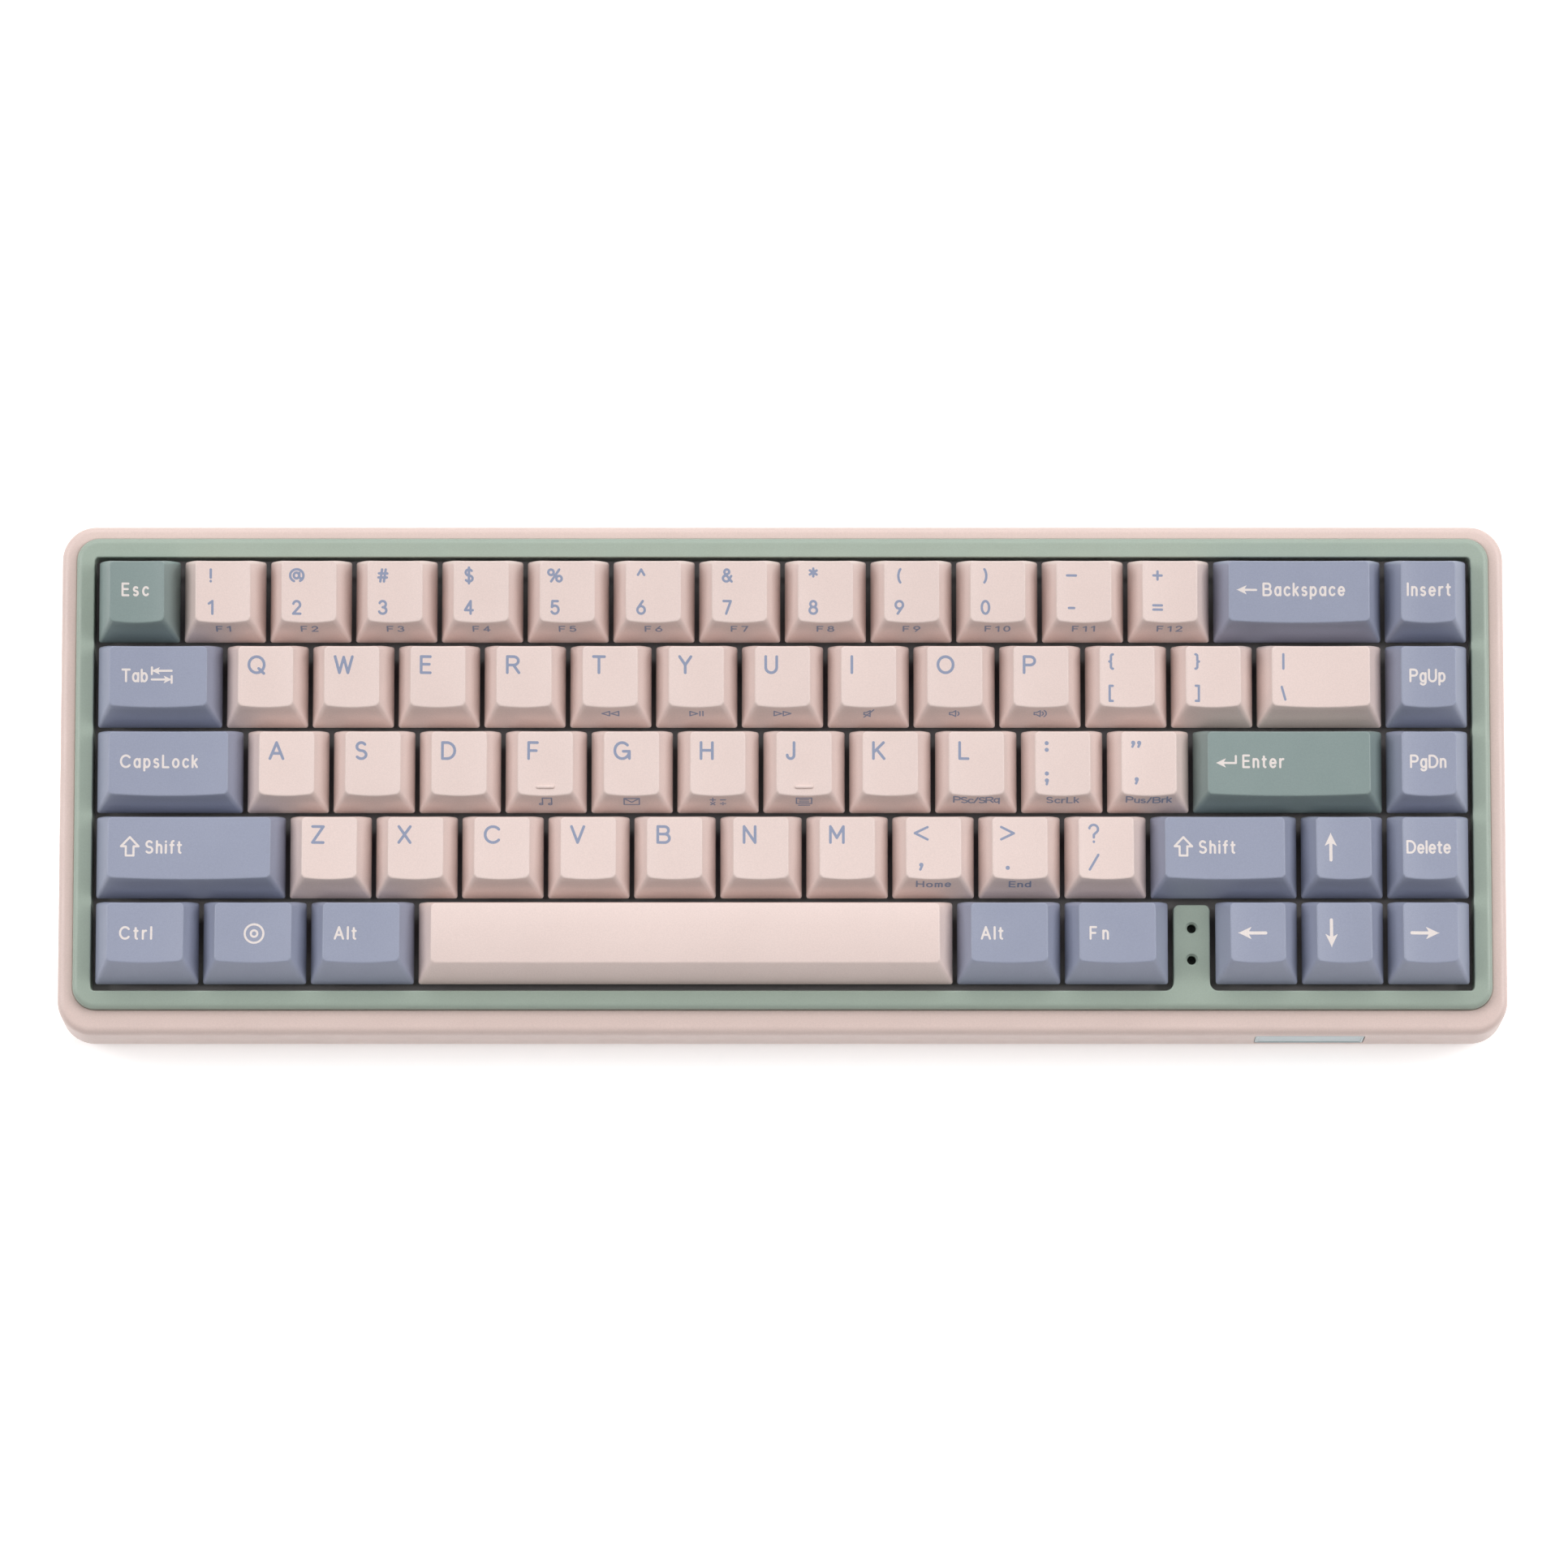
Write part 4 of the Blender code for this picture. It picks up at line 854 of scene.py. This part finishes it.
def build_keys():
    grouped = {name: node for node, names in GROUPS.items() for name in names}
    for row, keys in enumerate(ROWS):
        left = -COLUMNS / 2
        for name, units, colour in keys:
            centre = (left + units / 2) * PITCH
            left += units
            if not name:
                continue
            node = grouped.get(name, f"keycap_{name}")
            body = node.replace("keycaps_", "keys_").replace("keycap_", "key_")
            place = DECK @ Matrix.Translation((centre, (len(ROWS) / 2 - row - 0.5) * PITCH, CAP_BASE_Z))
            cap = Cap(name, row, units)
            piece(f"cap_{name}", cap.mesh(f"cap_{name}", place), colour, body, colour, node)
            slider = slider_mesh(f"slider_{name}", place)
            piece(f"slider_{name}", slider, "slider_red", body, "switch_black")
            legend = legend_mesh(f"legend_{name}", name, cap, place)
            if legend:
                ink = "legend_blue" if colour == PINK else "legend_pale"
                piece(f"legend_{name}", legend, ink, body, colour)
            if name in HOMING_KEYS:
                bar = homing_mesh(f"homing_bar_{name}", cap, place)
                piece(f"homing_bar_{name}", bar, colour, body, colour)


# ---- Top frame ----

FRAME_CORNER, FRAME_EDGE, FRAME_INNER_EDGE, HOLD = 4.8 * MM, 1.3 * MM, 0.35 * MM, 0.2 * MM
FRAME_SIZE, FRAME_GROWTH = (313.6 * MM, 104.7 * MM), 0.27 * MM
OPENING_X, OPENING_FRONT, OPENING_BACK, OPENING_CORNER = 153.0 * MM, -48.5 * MM, 48.25 * MM, 0.9 * MM
FRAME_TOP_Z, FRAME_SHELF_Z, FRAME_SKIRT, LEDGE_Z = 6.3 * MM, 0.4 * MM, 1.6 * MM, -3.3 * MM
ISLAND_WIDTH, ISLAND_CORNER, ISLAND_FILLET, ISLAND_BACK = 8.1 * MM, 1.3 * MM, 1.8 * MM, 8.6 * MM
ISLAND_X, FRONT_ROW_Y = 4.75 * PITCH, -2 * PITCH
LIGHT_OFFSETS, LIGHT_HOLE_R, LIGHT_SINK_R, LIGHT_SINK = (3.35 * MM, -3.65 * MM), 1.0 * MM, 1.35 * MM, 0.5 * MM
LIGHT_BEVEL, LENS_GAP, LENS_LOW, LENS_HIGH, LENS_DOME = 0.1 * MM, 0.08 * MM, -3.4 * MM, -2.4 * MM, 0.4 * MM


def opening_outline():
    """The frame's opening, which runs round the light island in the front row."""
    x, front, back = OPENING_X, OPENING_FRONT, OPENING_BACK
    left, right, tip = ISLAND_X - ISLAND_WIDTH / 2, ISLAND_X + ISLAND_WIDTH / 2, FRONT_ROW_Y + ISLAND_BACK
    corners = [
        (-x, front), (left, front), (left, tip), (right, tip),
        (right, front), (x, front), (x, back), (-x, back),
    ]
    radii = [OPENING_CORNER] * 8
    radii[1:5] = [ISLAND_FILLET, ISLAND_CORNER, ISLAND_CORNER, ISLAND_FILLET]
    return rounded(corners, radii, 8)


def build_top_frame():
    shape = Shape()
    outer = offset(rounded_rectangle(FRAME_SIZE, FRAME_CORNER, 14), FRAME_GROWTH)
    opening = opening_outline()
    skirt = offset(outer, -FRAME_SKIRT - FRAME_GROWTH)
    rings = [at(skirt, FRAME_SHELF_Z), at(skirt, LEDGE_Z + GAP), at(outer, LEDGE_Z + GAP)]
    rings += [at(offset(outer, -inset), FRAME_TOP_Z - drop) for inset, drop in round_over(FRAME_EDGE, 8)]
    rings.append(at(offset(outer, -FRAME_EDGE - HOLD), FRAME_TOP_Z))
    inside = [at(opening, FRAME_SHELF_Z)]
    inside += [at(offset(opening, inset), FRAME_TOP_Z - drop) for inset, drop in round_over(FRAME_INNER_EDGE)]
    inside.append(at(offset(opening, FRAME_INNER_EDGE + HOLD), FRAME_TOP_Z))
    below, above = zip(shape.stack(rings), shape.stack(inside))
    lights_below, lights_above = [], []
    for rise in LIGHT_OFFSETS:
        centre = (ISLAND_X, FRONT_ROW_Y + rise)
        low, high = shape.stack([
            at(circle(LIGHT_HOLE_R, centre), FRAME_SHELF_Z),
            at(circle(LIGHT_HOLE_R, centre), FRAME_TOP_Z - LIGHT_SINK),
            at(circle(LIGHT_SINK_R, centre), FRAME_TOP_Z - LIGHT_BEVEL),
            at(circle(LIGHT_SINK_R + LIGHT_BEVEL, centre), FRAME_TOP_Z),
            at(circle(LIGHT_SINK_R + HOLD, centre), FRAME_TOP_Z),
        ])
        lights_below.append(low)
        lights_above.append(high)
    shape.fill(*below, *lights_below)
    shape.fill(*above, *lights_above)
    mesh = shape.mesh("frame_shell", DECK)
    piece("frame_shell", mesh, "frame_green", "chassis", "frame_green", "top_frame")


def build_lenses():
    """The lens of each light, domed, deep in its hole in the island."""
    radius = LIGHT_HOLE_R - LENS_GAP
    levels = [(radius, LENS_LOW), (radius, LENS_HIGH)]
    levels += [(radius * math.cos(a), LENS_HIGH + LENS_DOME * math.sin(a)) for a in (0.4, 0.8, 1.2)]
    for i, rise in enumerate(LIGHT_OFFSETS):
        centre = (ISLAND_X, FRONT_ROW_Y + rise)
        lens = Shape().solid(at(circle(r, centre), FRAME_TOP_Z + z) for r, z in levels)
        name = f"light_lens_{i}"
        piece(name, lens.mesh(name, DECK), "light_lens", "chassis", "board_black")


# ---- Bottom case ----

CASE_LOW, CASE_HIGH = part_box("bottom_case")
CASE_WIDTH, CASE_DEPTH, CASE_CORNER = CASE_HIGH.x - CASE_LOW.x, CASE_HIGH.y - CASE_LOW.y, 7.5 * MM
CASE_BASE_Z, FLOOR_THICK, CASE_EDGE, FOOT_ROUND = CASE_LOW.z, 1.8 * MM, 1.6 * MM, (3.0 * MM, 3.4 * MM)
RIM_Z, LEDGE_WIDTH, MOUTH_EDGE = 4.3 * MM, 3.0 * MM, 0.3 * MM
FOOT_X, FOOT_WIDTH, FOOT_LENGTH, FOOT_THICK = 118.0 * MM, 34.0 * MM, 22.0 * MM, 3.6 * MM
FOOT_HINGE_Y, FOOT_HINGE_Z = 43.0 * MM, 3.3 * MM
FOOT_PIN_R, FOOT_PIN_LENGTH, FOOT_PIN_HOLE_R = 1.0 * MM, 1.1 * MM, 1.35 * MM
POCKET_SIDE_GAP, POCKET_ROOF_Z, POCKET_WALL, POCKET_BACK = 0.4 * MM, 5.6 * MM, 1.6 * MM, 3.0 * MM
POCKET_FRONT_GAP = 1.4 * MM
STRIP_NODES, STRIP_DEPTH = ("front_rubber_strip", "rear_rubber_strip"), 0.6 * MM
SCREW_SINK_R, SCREW_SINK_DEPTH, SCREW_HEAD_R = 2.7 * MM, 1.1 * MM, 2.35 * MM
SCREW_PLACES = [(x * MM, y * MM) for x in (-145, 0, 145) for y in (-36, 30)]
USB_X, USB_Z, PLUG_RECESS, PLUG_RECESS_Y = -95.0 * MM, 13.3 * MM, (12.4 * MM, 7.0 * MM), 51.7 * MM
PLUG_RECESS_CORNER = 1.6 * MM
USB_SLOT, USB_SLOT_CORNER, USB_SLOT_DEPTH = (9.7 * MM, 3.9 * MM), 1.872 * MM, 8.0 * MM
SOCKET_BOSS, SOCKET_BOSS_Y = (16.0 * MM, 4.2 * MM, 10.0 * MM), 51.4 * MM
BADGE_X, BADGE_Z, BADGE_SIZE = 116.9 * MM, 9.2 * MM, (24.1 * MM, 7.6 * MM)
BADGE_CORNER, BADGE_SINK = 0.9 * MM, 0.9 * MM
# The badge's border: (inset, depth behind the case's face) in millimetres.
BADGE_BORDER = [(0.0, 0.2), (0.05, 0.06), (0.2, 0.0), (0.55, 0.0), (0.65, 0.12), (0.85, 0.12)]
STRIP_CORNER_SHARE, STRIP_ROUND = 0.3, 0.4 * MM
# A foot's outline, seen along its hinge: (corner, radius), with the hinge pin at its origin.
FOOT_HALF = FOOT_THICK / 2
FOOT_SIDE = [
    ((0.6 * MM - FOOT_LENGTH, -FOOT_HALF), 0.6 * MM),
    ((FOOT_HALF, -FOOT_HALF), FOOT_HALF * 0.98),
    ((FOOT_HALF, FOOT_HALF), FOOT_HALF * 0.98),
    ((2.0 * MM - FOOT_LENGTH, FOOT_HALF), 2.0 * MM),
    ((-FOOT_LENGTH, 0.0), 0.8 * MM),
]
FOOT_EDGE, FOOT_PIN_ROOT, FOOT_PIN_BEVEL = 0.35 * MM, 1.0 * MM, 0.2 * MM
SCREW_CROSS, SCREW_CROSS_DEPTH = (1.25 * MM, 0.35 * MM), 0.6 * MM
SCREW_FACE_Z, SCREW_HEAD_HEIGHT, SCREW_ROUND = CASE_BASE_Z + 0.2 * MM, 0.85 * MM, 0.4 * MM


def on_deck(points):
    return [tuple(DECK @ Vector(point)) for point in points]


def rim(x, y):
    """The height of the case's sloping rim, which is parallel to the deck."""
    start, normal = DECK @ Vector((0, 0, RIM_Z)), DECK.to_3x3() @ Vector((0, 0, 1))
    return start.z - (y - start.y) * normal.y / normal.z


def case_mesh():
    outer = rounded_rectangle((CASE_WIDTH, CASE_DEPTH), CASE_CORNER, 14)
    mouth = rounded_rectangle([side + 2 * GAP for side in FRAME_SIZE], FRAME_CORNER + GAP, 14)
    well = offset(mouth, -LEDGE_WIDTH)
    rings = [at(offset(outer, -FOOT_ROUND[0] - HOLD), CASE_BASE_Z)]
    for inset, drop in reversed(round_over(1.0, 8)):
        rings.append(at(offset(outer, -inset * FOOT_ROUND[0]), CASE_BASE_Z + drop * FOOT_ROUND[1]))
    for inset, drop in round_over(CASE_EDGE, 8):
        rings.append(at(offset(outer, -inset), lambda x, y: rim(x, y) - drop))
    rings.append(at(offset(outer, -CASE_EDGE - HOLD), rim))
    rings.append(on_deck(at(offset(mouth, MOUTH_EDGE + HOLD), RIM_Z)))
    for inset, drop in reversed(round_over(MOUTH_EDGE, 3)):
        rings.append(on_deck(at(offset(mouth, inset), RIM_Z - drop)))
    rings.append(on_deck(at(mouth, LEDGE_Z)))
    rings.append(on_deck(at(well, LEDGE_Z)))
    rings.append([(x, y, CASE_BASE_Z + FLOOR_THICK) for x, y, _ in rings[-1]])
    return Shape().solid(rings).mesh("case_shell")


def block(centre, size, corner=0.01 * MM):
    """A closed block whose edges along Y are rounded."""
    x, y, z = centre
    outline = rounded_rectangle((size[0], size[2]), corner, 6)
    return Shape().solid([(x + a, y + side * size[1] / 2, z + b) for a, b in outline] for side in (-1, 1))


def rod(centre, radius, length, axis):
    """A closed rod along X or Z."""
    rings = []
    for side in (-1, 1):
        along = side * length / 2
        points = [(a, b, along) if axis == "Z" else (along, a, b) for a, b in circle(radius, sides=40)]
        rings.append([tuple(p + q for p, q in zip(centre, point)) for point in points])
    return Shape().solid(rings)


def carve(mesh, steps):
    """The mesh after unions and differences with closed shapes, one after the other."""
    target = link_object("carving", mesh)
    tools = []
    for i, (operation, shape) in enumerate(steps):
        tool = link_object(f"tool_{i}", shape.mesh(f"tool_{i}"))
        tools.append(tool)
        modifier = target.modifiers.new(tool.name, "BOOLEAN")
        modifier.operation = operation
        modifier.object = tool
    carved = bpy.data.meshes.new_from_object(target.evaluated_get(bpy.context.evaluated_depsgraph_get()))
    for done in [target] + tools:
        bpy.data.objects.remove(done)
    carved.name = mesh.name
    carved.shade_smooth()
    carved.set_sharp_from_angle(angle=math.radians(32))
    return carved


def pocket_steps(side):
    """Union and cuts for the pocket of one flip foot."""
    x, wide = side * FOOT_X, FOOT_WIDTH + 2 * POCKET_SIDE_GAP
    front = FOOT_HINGE_Y - FOOT_LENGTH - POCKET_FRONT_GAP
    back = FOOT_HINGE_Y + POCKET_BACK
    middle, deep = (front + back) / 2, back - front
    low, wall = CASE_BASE_Z + FLOOR_THICK / 2, POCKET_WALL
    high = POCKET_ROOF_Z + wall
    shell = block((x, middle, (low + high) / 2), (wide + 2 * wall, deep + 2 * wall, high - low))
    hollow = block((x, middle, POCKET_ROOF_Z / 2), (wide, deep, POCKET_ROOF_Z))
    bore = rod((x, FOOT_HINGE_Y, FOOT_HINGE_Z), FOOT_PIN_HOLE_R, wide + 2 * FOOT_PIN_LENGTH, "X")
    return [("UNION", shell), ("DIFFERENCE", hollow), ("DIFFERENCE", bore)]


def build_case():
    back = CASE_DEPTH / 2
    steps = pocket_steps(-1) + pocket_steps(1)
    for node in STRIP_NODES:
        low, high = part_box(node)
        size = (high.x - low.x + 2 * GAP, high.y - low.y + 2 * GAP, 2 * STRIP_DEPTH)
        steps.append(("DIFFERENCE", block((0, (low.y + high.y) / 2, CASE_BASE_Z), size)))
    steps.append(("UNION", block((USB_X, SOCKET_BOSS_Y, USB_Z), SOCKET_BOSS)))
    recess = (PLUG_RECESS[0], 2 * (back - PLUG_RECESS_Y), PLUG_RECESS[1])
    steps.append(("DIFFERENCE", block((USB_X, back, USB_Z), recess, PLUG_RECESS_CORNER)))
    slot = (USB_SLOT[0], 2 * USB_SLOT_DEPTH, USB_SLOT[1])
    steps.append(("DIFFERENCE", block((USB_X, back, USB_Z), slot, USB_SLOT_CORNER)))
    sink = (BADGE_SIZE[0] + GAP, 2 * BADGE_SINK, BADGE_SIZE[1] + GAP)
    steps.append(("DIFFERENCE", block((BADGE_X, -back, BADGE_Z), sink, BADGE_CORNER + 0.1 * MM)))
    for x, y in SCREW_PLACES:
        sink = rod((x, y, CASE_BASE_Z), SCREW_SINK_R, 2 * SCREW_SINK_DEPTH, "Z")
        steps.append(("DIFFERENCE", sink))
    piece("case_shell", carve(case_mesh(), steps), "shell_pink", "chassis", "shell_pink", "bottom_case")


def build_badge():
    """A blank badge with a thin raised border."""
    face = -CASE_DEPTH / 2
    outline = rounded_rectangle(BADGE_SIZE, BADGE_CORNER, 8)
    levels = [(0.0, BADGE_SINK - GAP)] + [(inset * MM, depth * MM) for inset, depth in BADGE_BORDER]
    shape = Shape().solid(
        [(BADGE_X + x, face + depth, BADGE_Z + z) for x, z in offset(outline, -inset)]
        for inset, depth in levels
    )
    mesh = shape.mesh("badge_plate", sharp=50)
    piece("badge_plate", mesh, "badge_blue", "chassis", "badge_blue", "front_badge")


def build_strips():
    for node in STRIP_NODES:
        low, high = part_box(node)
        size, middle = (high.x - low.x, high.y - low.y), ((low.x + high.x) / 2, (low.y + high.y) / 2)
        outline = rounded_rectangle(size, size[1] * STRIP_CORNER_SHARE, 8, middle)
        rings = [at(outline, high.z)]
        rings += [at(offset(outline, -inset), drop) for inset, drop in round_over(STRIP_ROUND, 4)]
        rings.append(at(offset(outline, -STRIP_ROUND - HOLD), 0))
        mesh = Shape().solid(rings).mesh(f"{node}_pad")
        piece(f"{node}_pad", mesh, "rubber_dark", "chassis", "rubber_dark", node)


def foot_mesh(name, side):
    """A flip foot: a tapered plate, round at the hinge, with softened sides and a pin at each end."""
    half = FOOT_WIDTH / 2
    outline = rounded(*zip(*FOOT_SIDE), 8)
    levels = [(-half, FOOT_EDGE + HOLD), (-half, FOOT_EDGE)]
    levels += [(-half + drop, inset) for inset, drop in reversed(round_over(FOOT_EDGE, 4))][1:]
    levels += [(-x, inset) for x, inset in reversed(levels)]
    reach, pin_tip_r = half + FOOT_PIN_LENGTH, FOOT_PIN_R - FOOT_PIN_BEVEL
    stops = [(half - FOOT_PIN_ROOT, FOOT_PIN_R), (reach - FOOT_PIN_BEVEL, FOOT_PIN_R), (reach, pin_tip_r)]

    def across(x, points):
        """Points of the foot's side view, at a place along its hinge."""
        return [(side * FOOT_X + x, FOOT_HINGE_Y + y, FOOT_HINGE_Z + z) for y, z in points]

    shape = Shape().solid(across(x, offset(outline, -inset)) for x, inset in levels)
    for sign in (-1, 1):
        shape.solid(across(sign * x, circle(radius, sides=24)) for x, radius in stops)
    return shape.mesh(name)


def build_feet():
    for side, word in ((-1, "left"), (1, "right")):
        name = f"{word}_foot_plate"
        piece(name, foot_mesh(name, side), "shell_pink", f"{word}_foot", "shell_pink", f"{word}_flip_foot")


def build_screws():
    """The six screws under the case, each with a cross recess."""
    for i, (x, y) in enumerate(SCREW_PLACES):
        shape = Shape()
        head_rings = [at(circle(SCREW_HEAD_R, (x, y), 40), SCREW_FACE_Z + SCREW_HEAD_HEIGHT)]
        for inset, drop in round_over(SCREW_ROUND, 4):
            head_rings.append(at(circle(SCREW_HEAD_R - inset, (x, y), 40), SCREW_FACE_Z + drop))
        top, face = shape.stack(head_rings)
        recess = [(x + a, y + b) for a, b in cross_outline(*SCREW_CROSS)]
        mouth, bottom = shape.stack(at(recess, SCREW_FACE_Z + depth) for depth in (0.0, SCREW_CROSS_DEPTH))
        shape.fill(top)
        shape.fill(face, mouth)
        shape.fill(bottom)
        name = f"case_screw_{i}"
        piece(name, shape.mesh(name), "screw_steel", "chassis", "socket_steel")


def finish_cad_nodes():
    """Pieces whose CAD shape is right keep it, with a full finish."""
    wears = {
        "switch_plate": "plate_grey", "switch_housings": "switch_black", "circuit_board": "board_black",
        "case_foam": "foam_grey", "usb_socket": "socket_steel",
    }
    for node, name in wears.items():
        for material_slot in frame["nodes"][node].material_slots:
            material_slot.material = FINISH[name]


# ---- Stage ----

CAMERA_DISTANCE, CAMERA_ELEVATION, CAMERA_LENS, CAMERA_SENSOR = 1.65, math.radians(77.17), 170.2, 36.0
CAMERA_TARGET = DECK @ Vector((0.33 * MM, -1.8 * MM, 0.0))
FLOOR_HALF, FLOOR_GREY, FLOOR_GLOW, WORLD_STRENGTH, WHITE = 3.0, 0.93, 0.35, 0.035, (1.0, 1.0, 1.0, 1.0)
# Each softbox: its name, place, size in metres and power in watts.
SOFTBOXES = [
    ("back", (0.0, 1.2, 1.25), (2.0, 0.9), 17),
    ("left_side", (-1.35, 0.15, 1.15), (0.9, 1.2), 17),
    ("right_side", (1.35, 0.15, 1.15), (0.9, 1.2), 19),
    ("front", (0.0, -1.3, 1.3), (2.0, 0.9), 4.5),
]


def build_floor():
    corners = [(x * FLOOR_HALF, y * FLOOR_HALF, 0) for x, y in ((-1, -1), (1, -1), (1, 1), (-1, 1))]
    mesh = bpy.data.meshes.new("floor")
    mesh.from_pydata(corners, [], [(0, 1, 2, 3)])
    paper = bpy.data.materials.new("pale_paper")
    paper.use_nodes = True
    grey = (FLOOR_GREY, FLOOR_GREY, FLOOR_GREY, 1.0)
    set_inputs(
        paper.node_tree.nodes["Principled BSDF"],
        Base_Color=grey, Roughness=0.9, Emission_Color=WHITE, Emission_Strength=FLOOR_GLOW,
    )
    mesh.materials.append(paper)
    link_object("floor", mesh)


def aim(thing, target):
    thing.rotation_euler = (Vector(target) - thing.location).to_track_quat("-Z", "Y").to_euler()


def softbox(name, place, size, power):
    light = bpy.data.lights.new(name, "AREA")
    light.shape = "RECTANGLE"
    light.size, light.size_y = size
    light.energy = power
    lamp = link_object(name, light)
    lamp.location = place
    aim(lamp, (0, 0, 0))


def build_stage():
    build_floor()
    for box in SOFTBOXES:
        softbox(*box)
    world = bpy.data.worlds.new("studio")
    world.use_nodes = True
    set_inputs(world.node_tree.nodes["Background"], Color=WHITE, Strength=WORLD_STRENGTH)
    bpy.context.scene.world = world
    bpy.context.scene.view_settings.view_transform = "Standard"
    camera = link_object("camera", bpy.data.cameras.new("camera"))
    camera.data.lens, camera.data.sensor_width = CAMERA_LENS, CAMERA_SENSOR
    away = Vector((0, -math.cos(CAMERA_ELEVATION), math.sin(CAMERA_ELEVATION)))
    camera.location = CAMERA_TARGET + away * CAMERA_DISTANCE
    aim(camera, CAMERA_TARGET)
    bpy.context.scene.camera = camera


build_keys()
build_top_frame()
build_lenses()
build_case()
build_badge()
build_strips()
build_feet()
build_screws()
finish_cad_nodes()
build_stage()
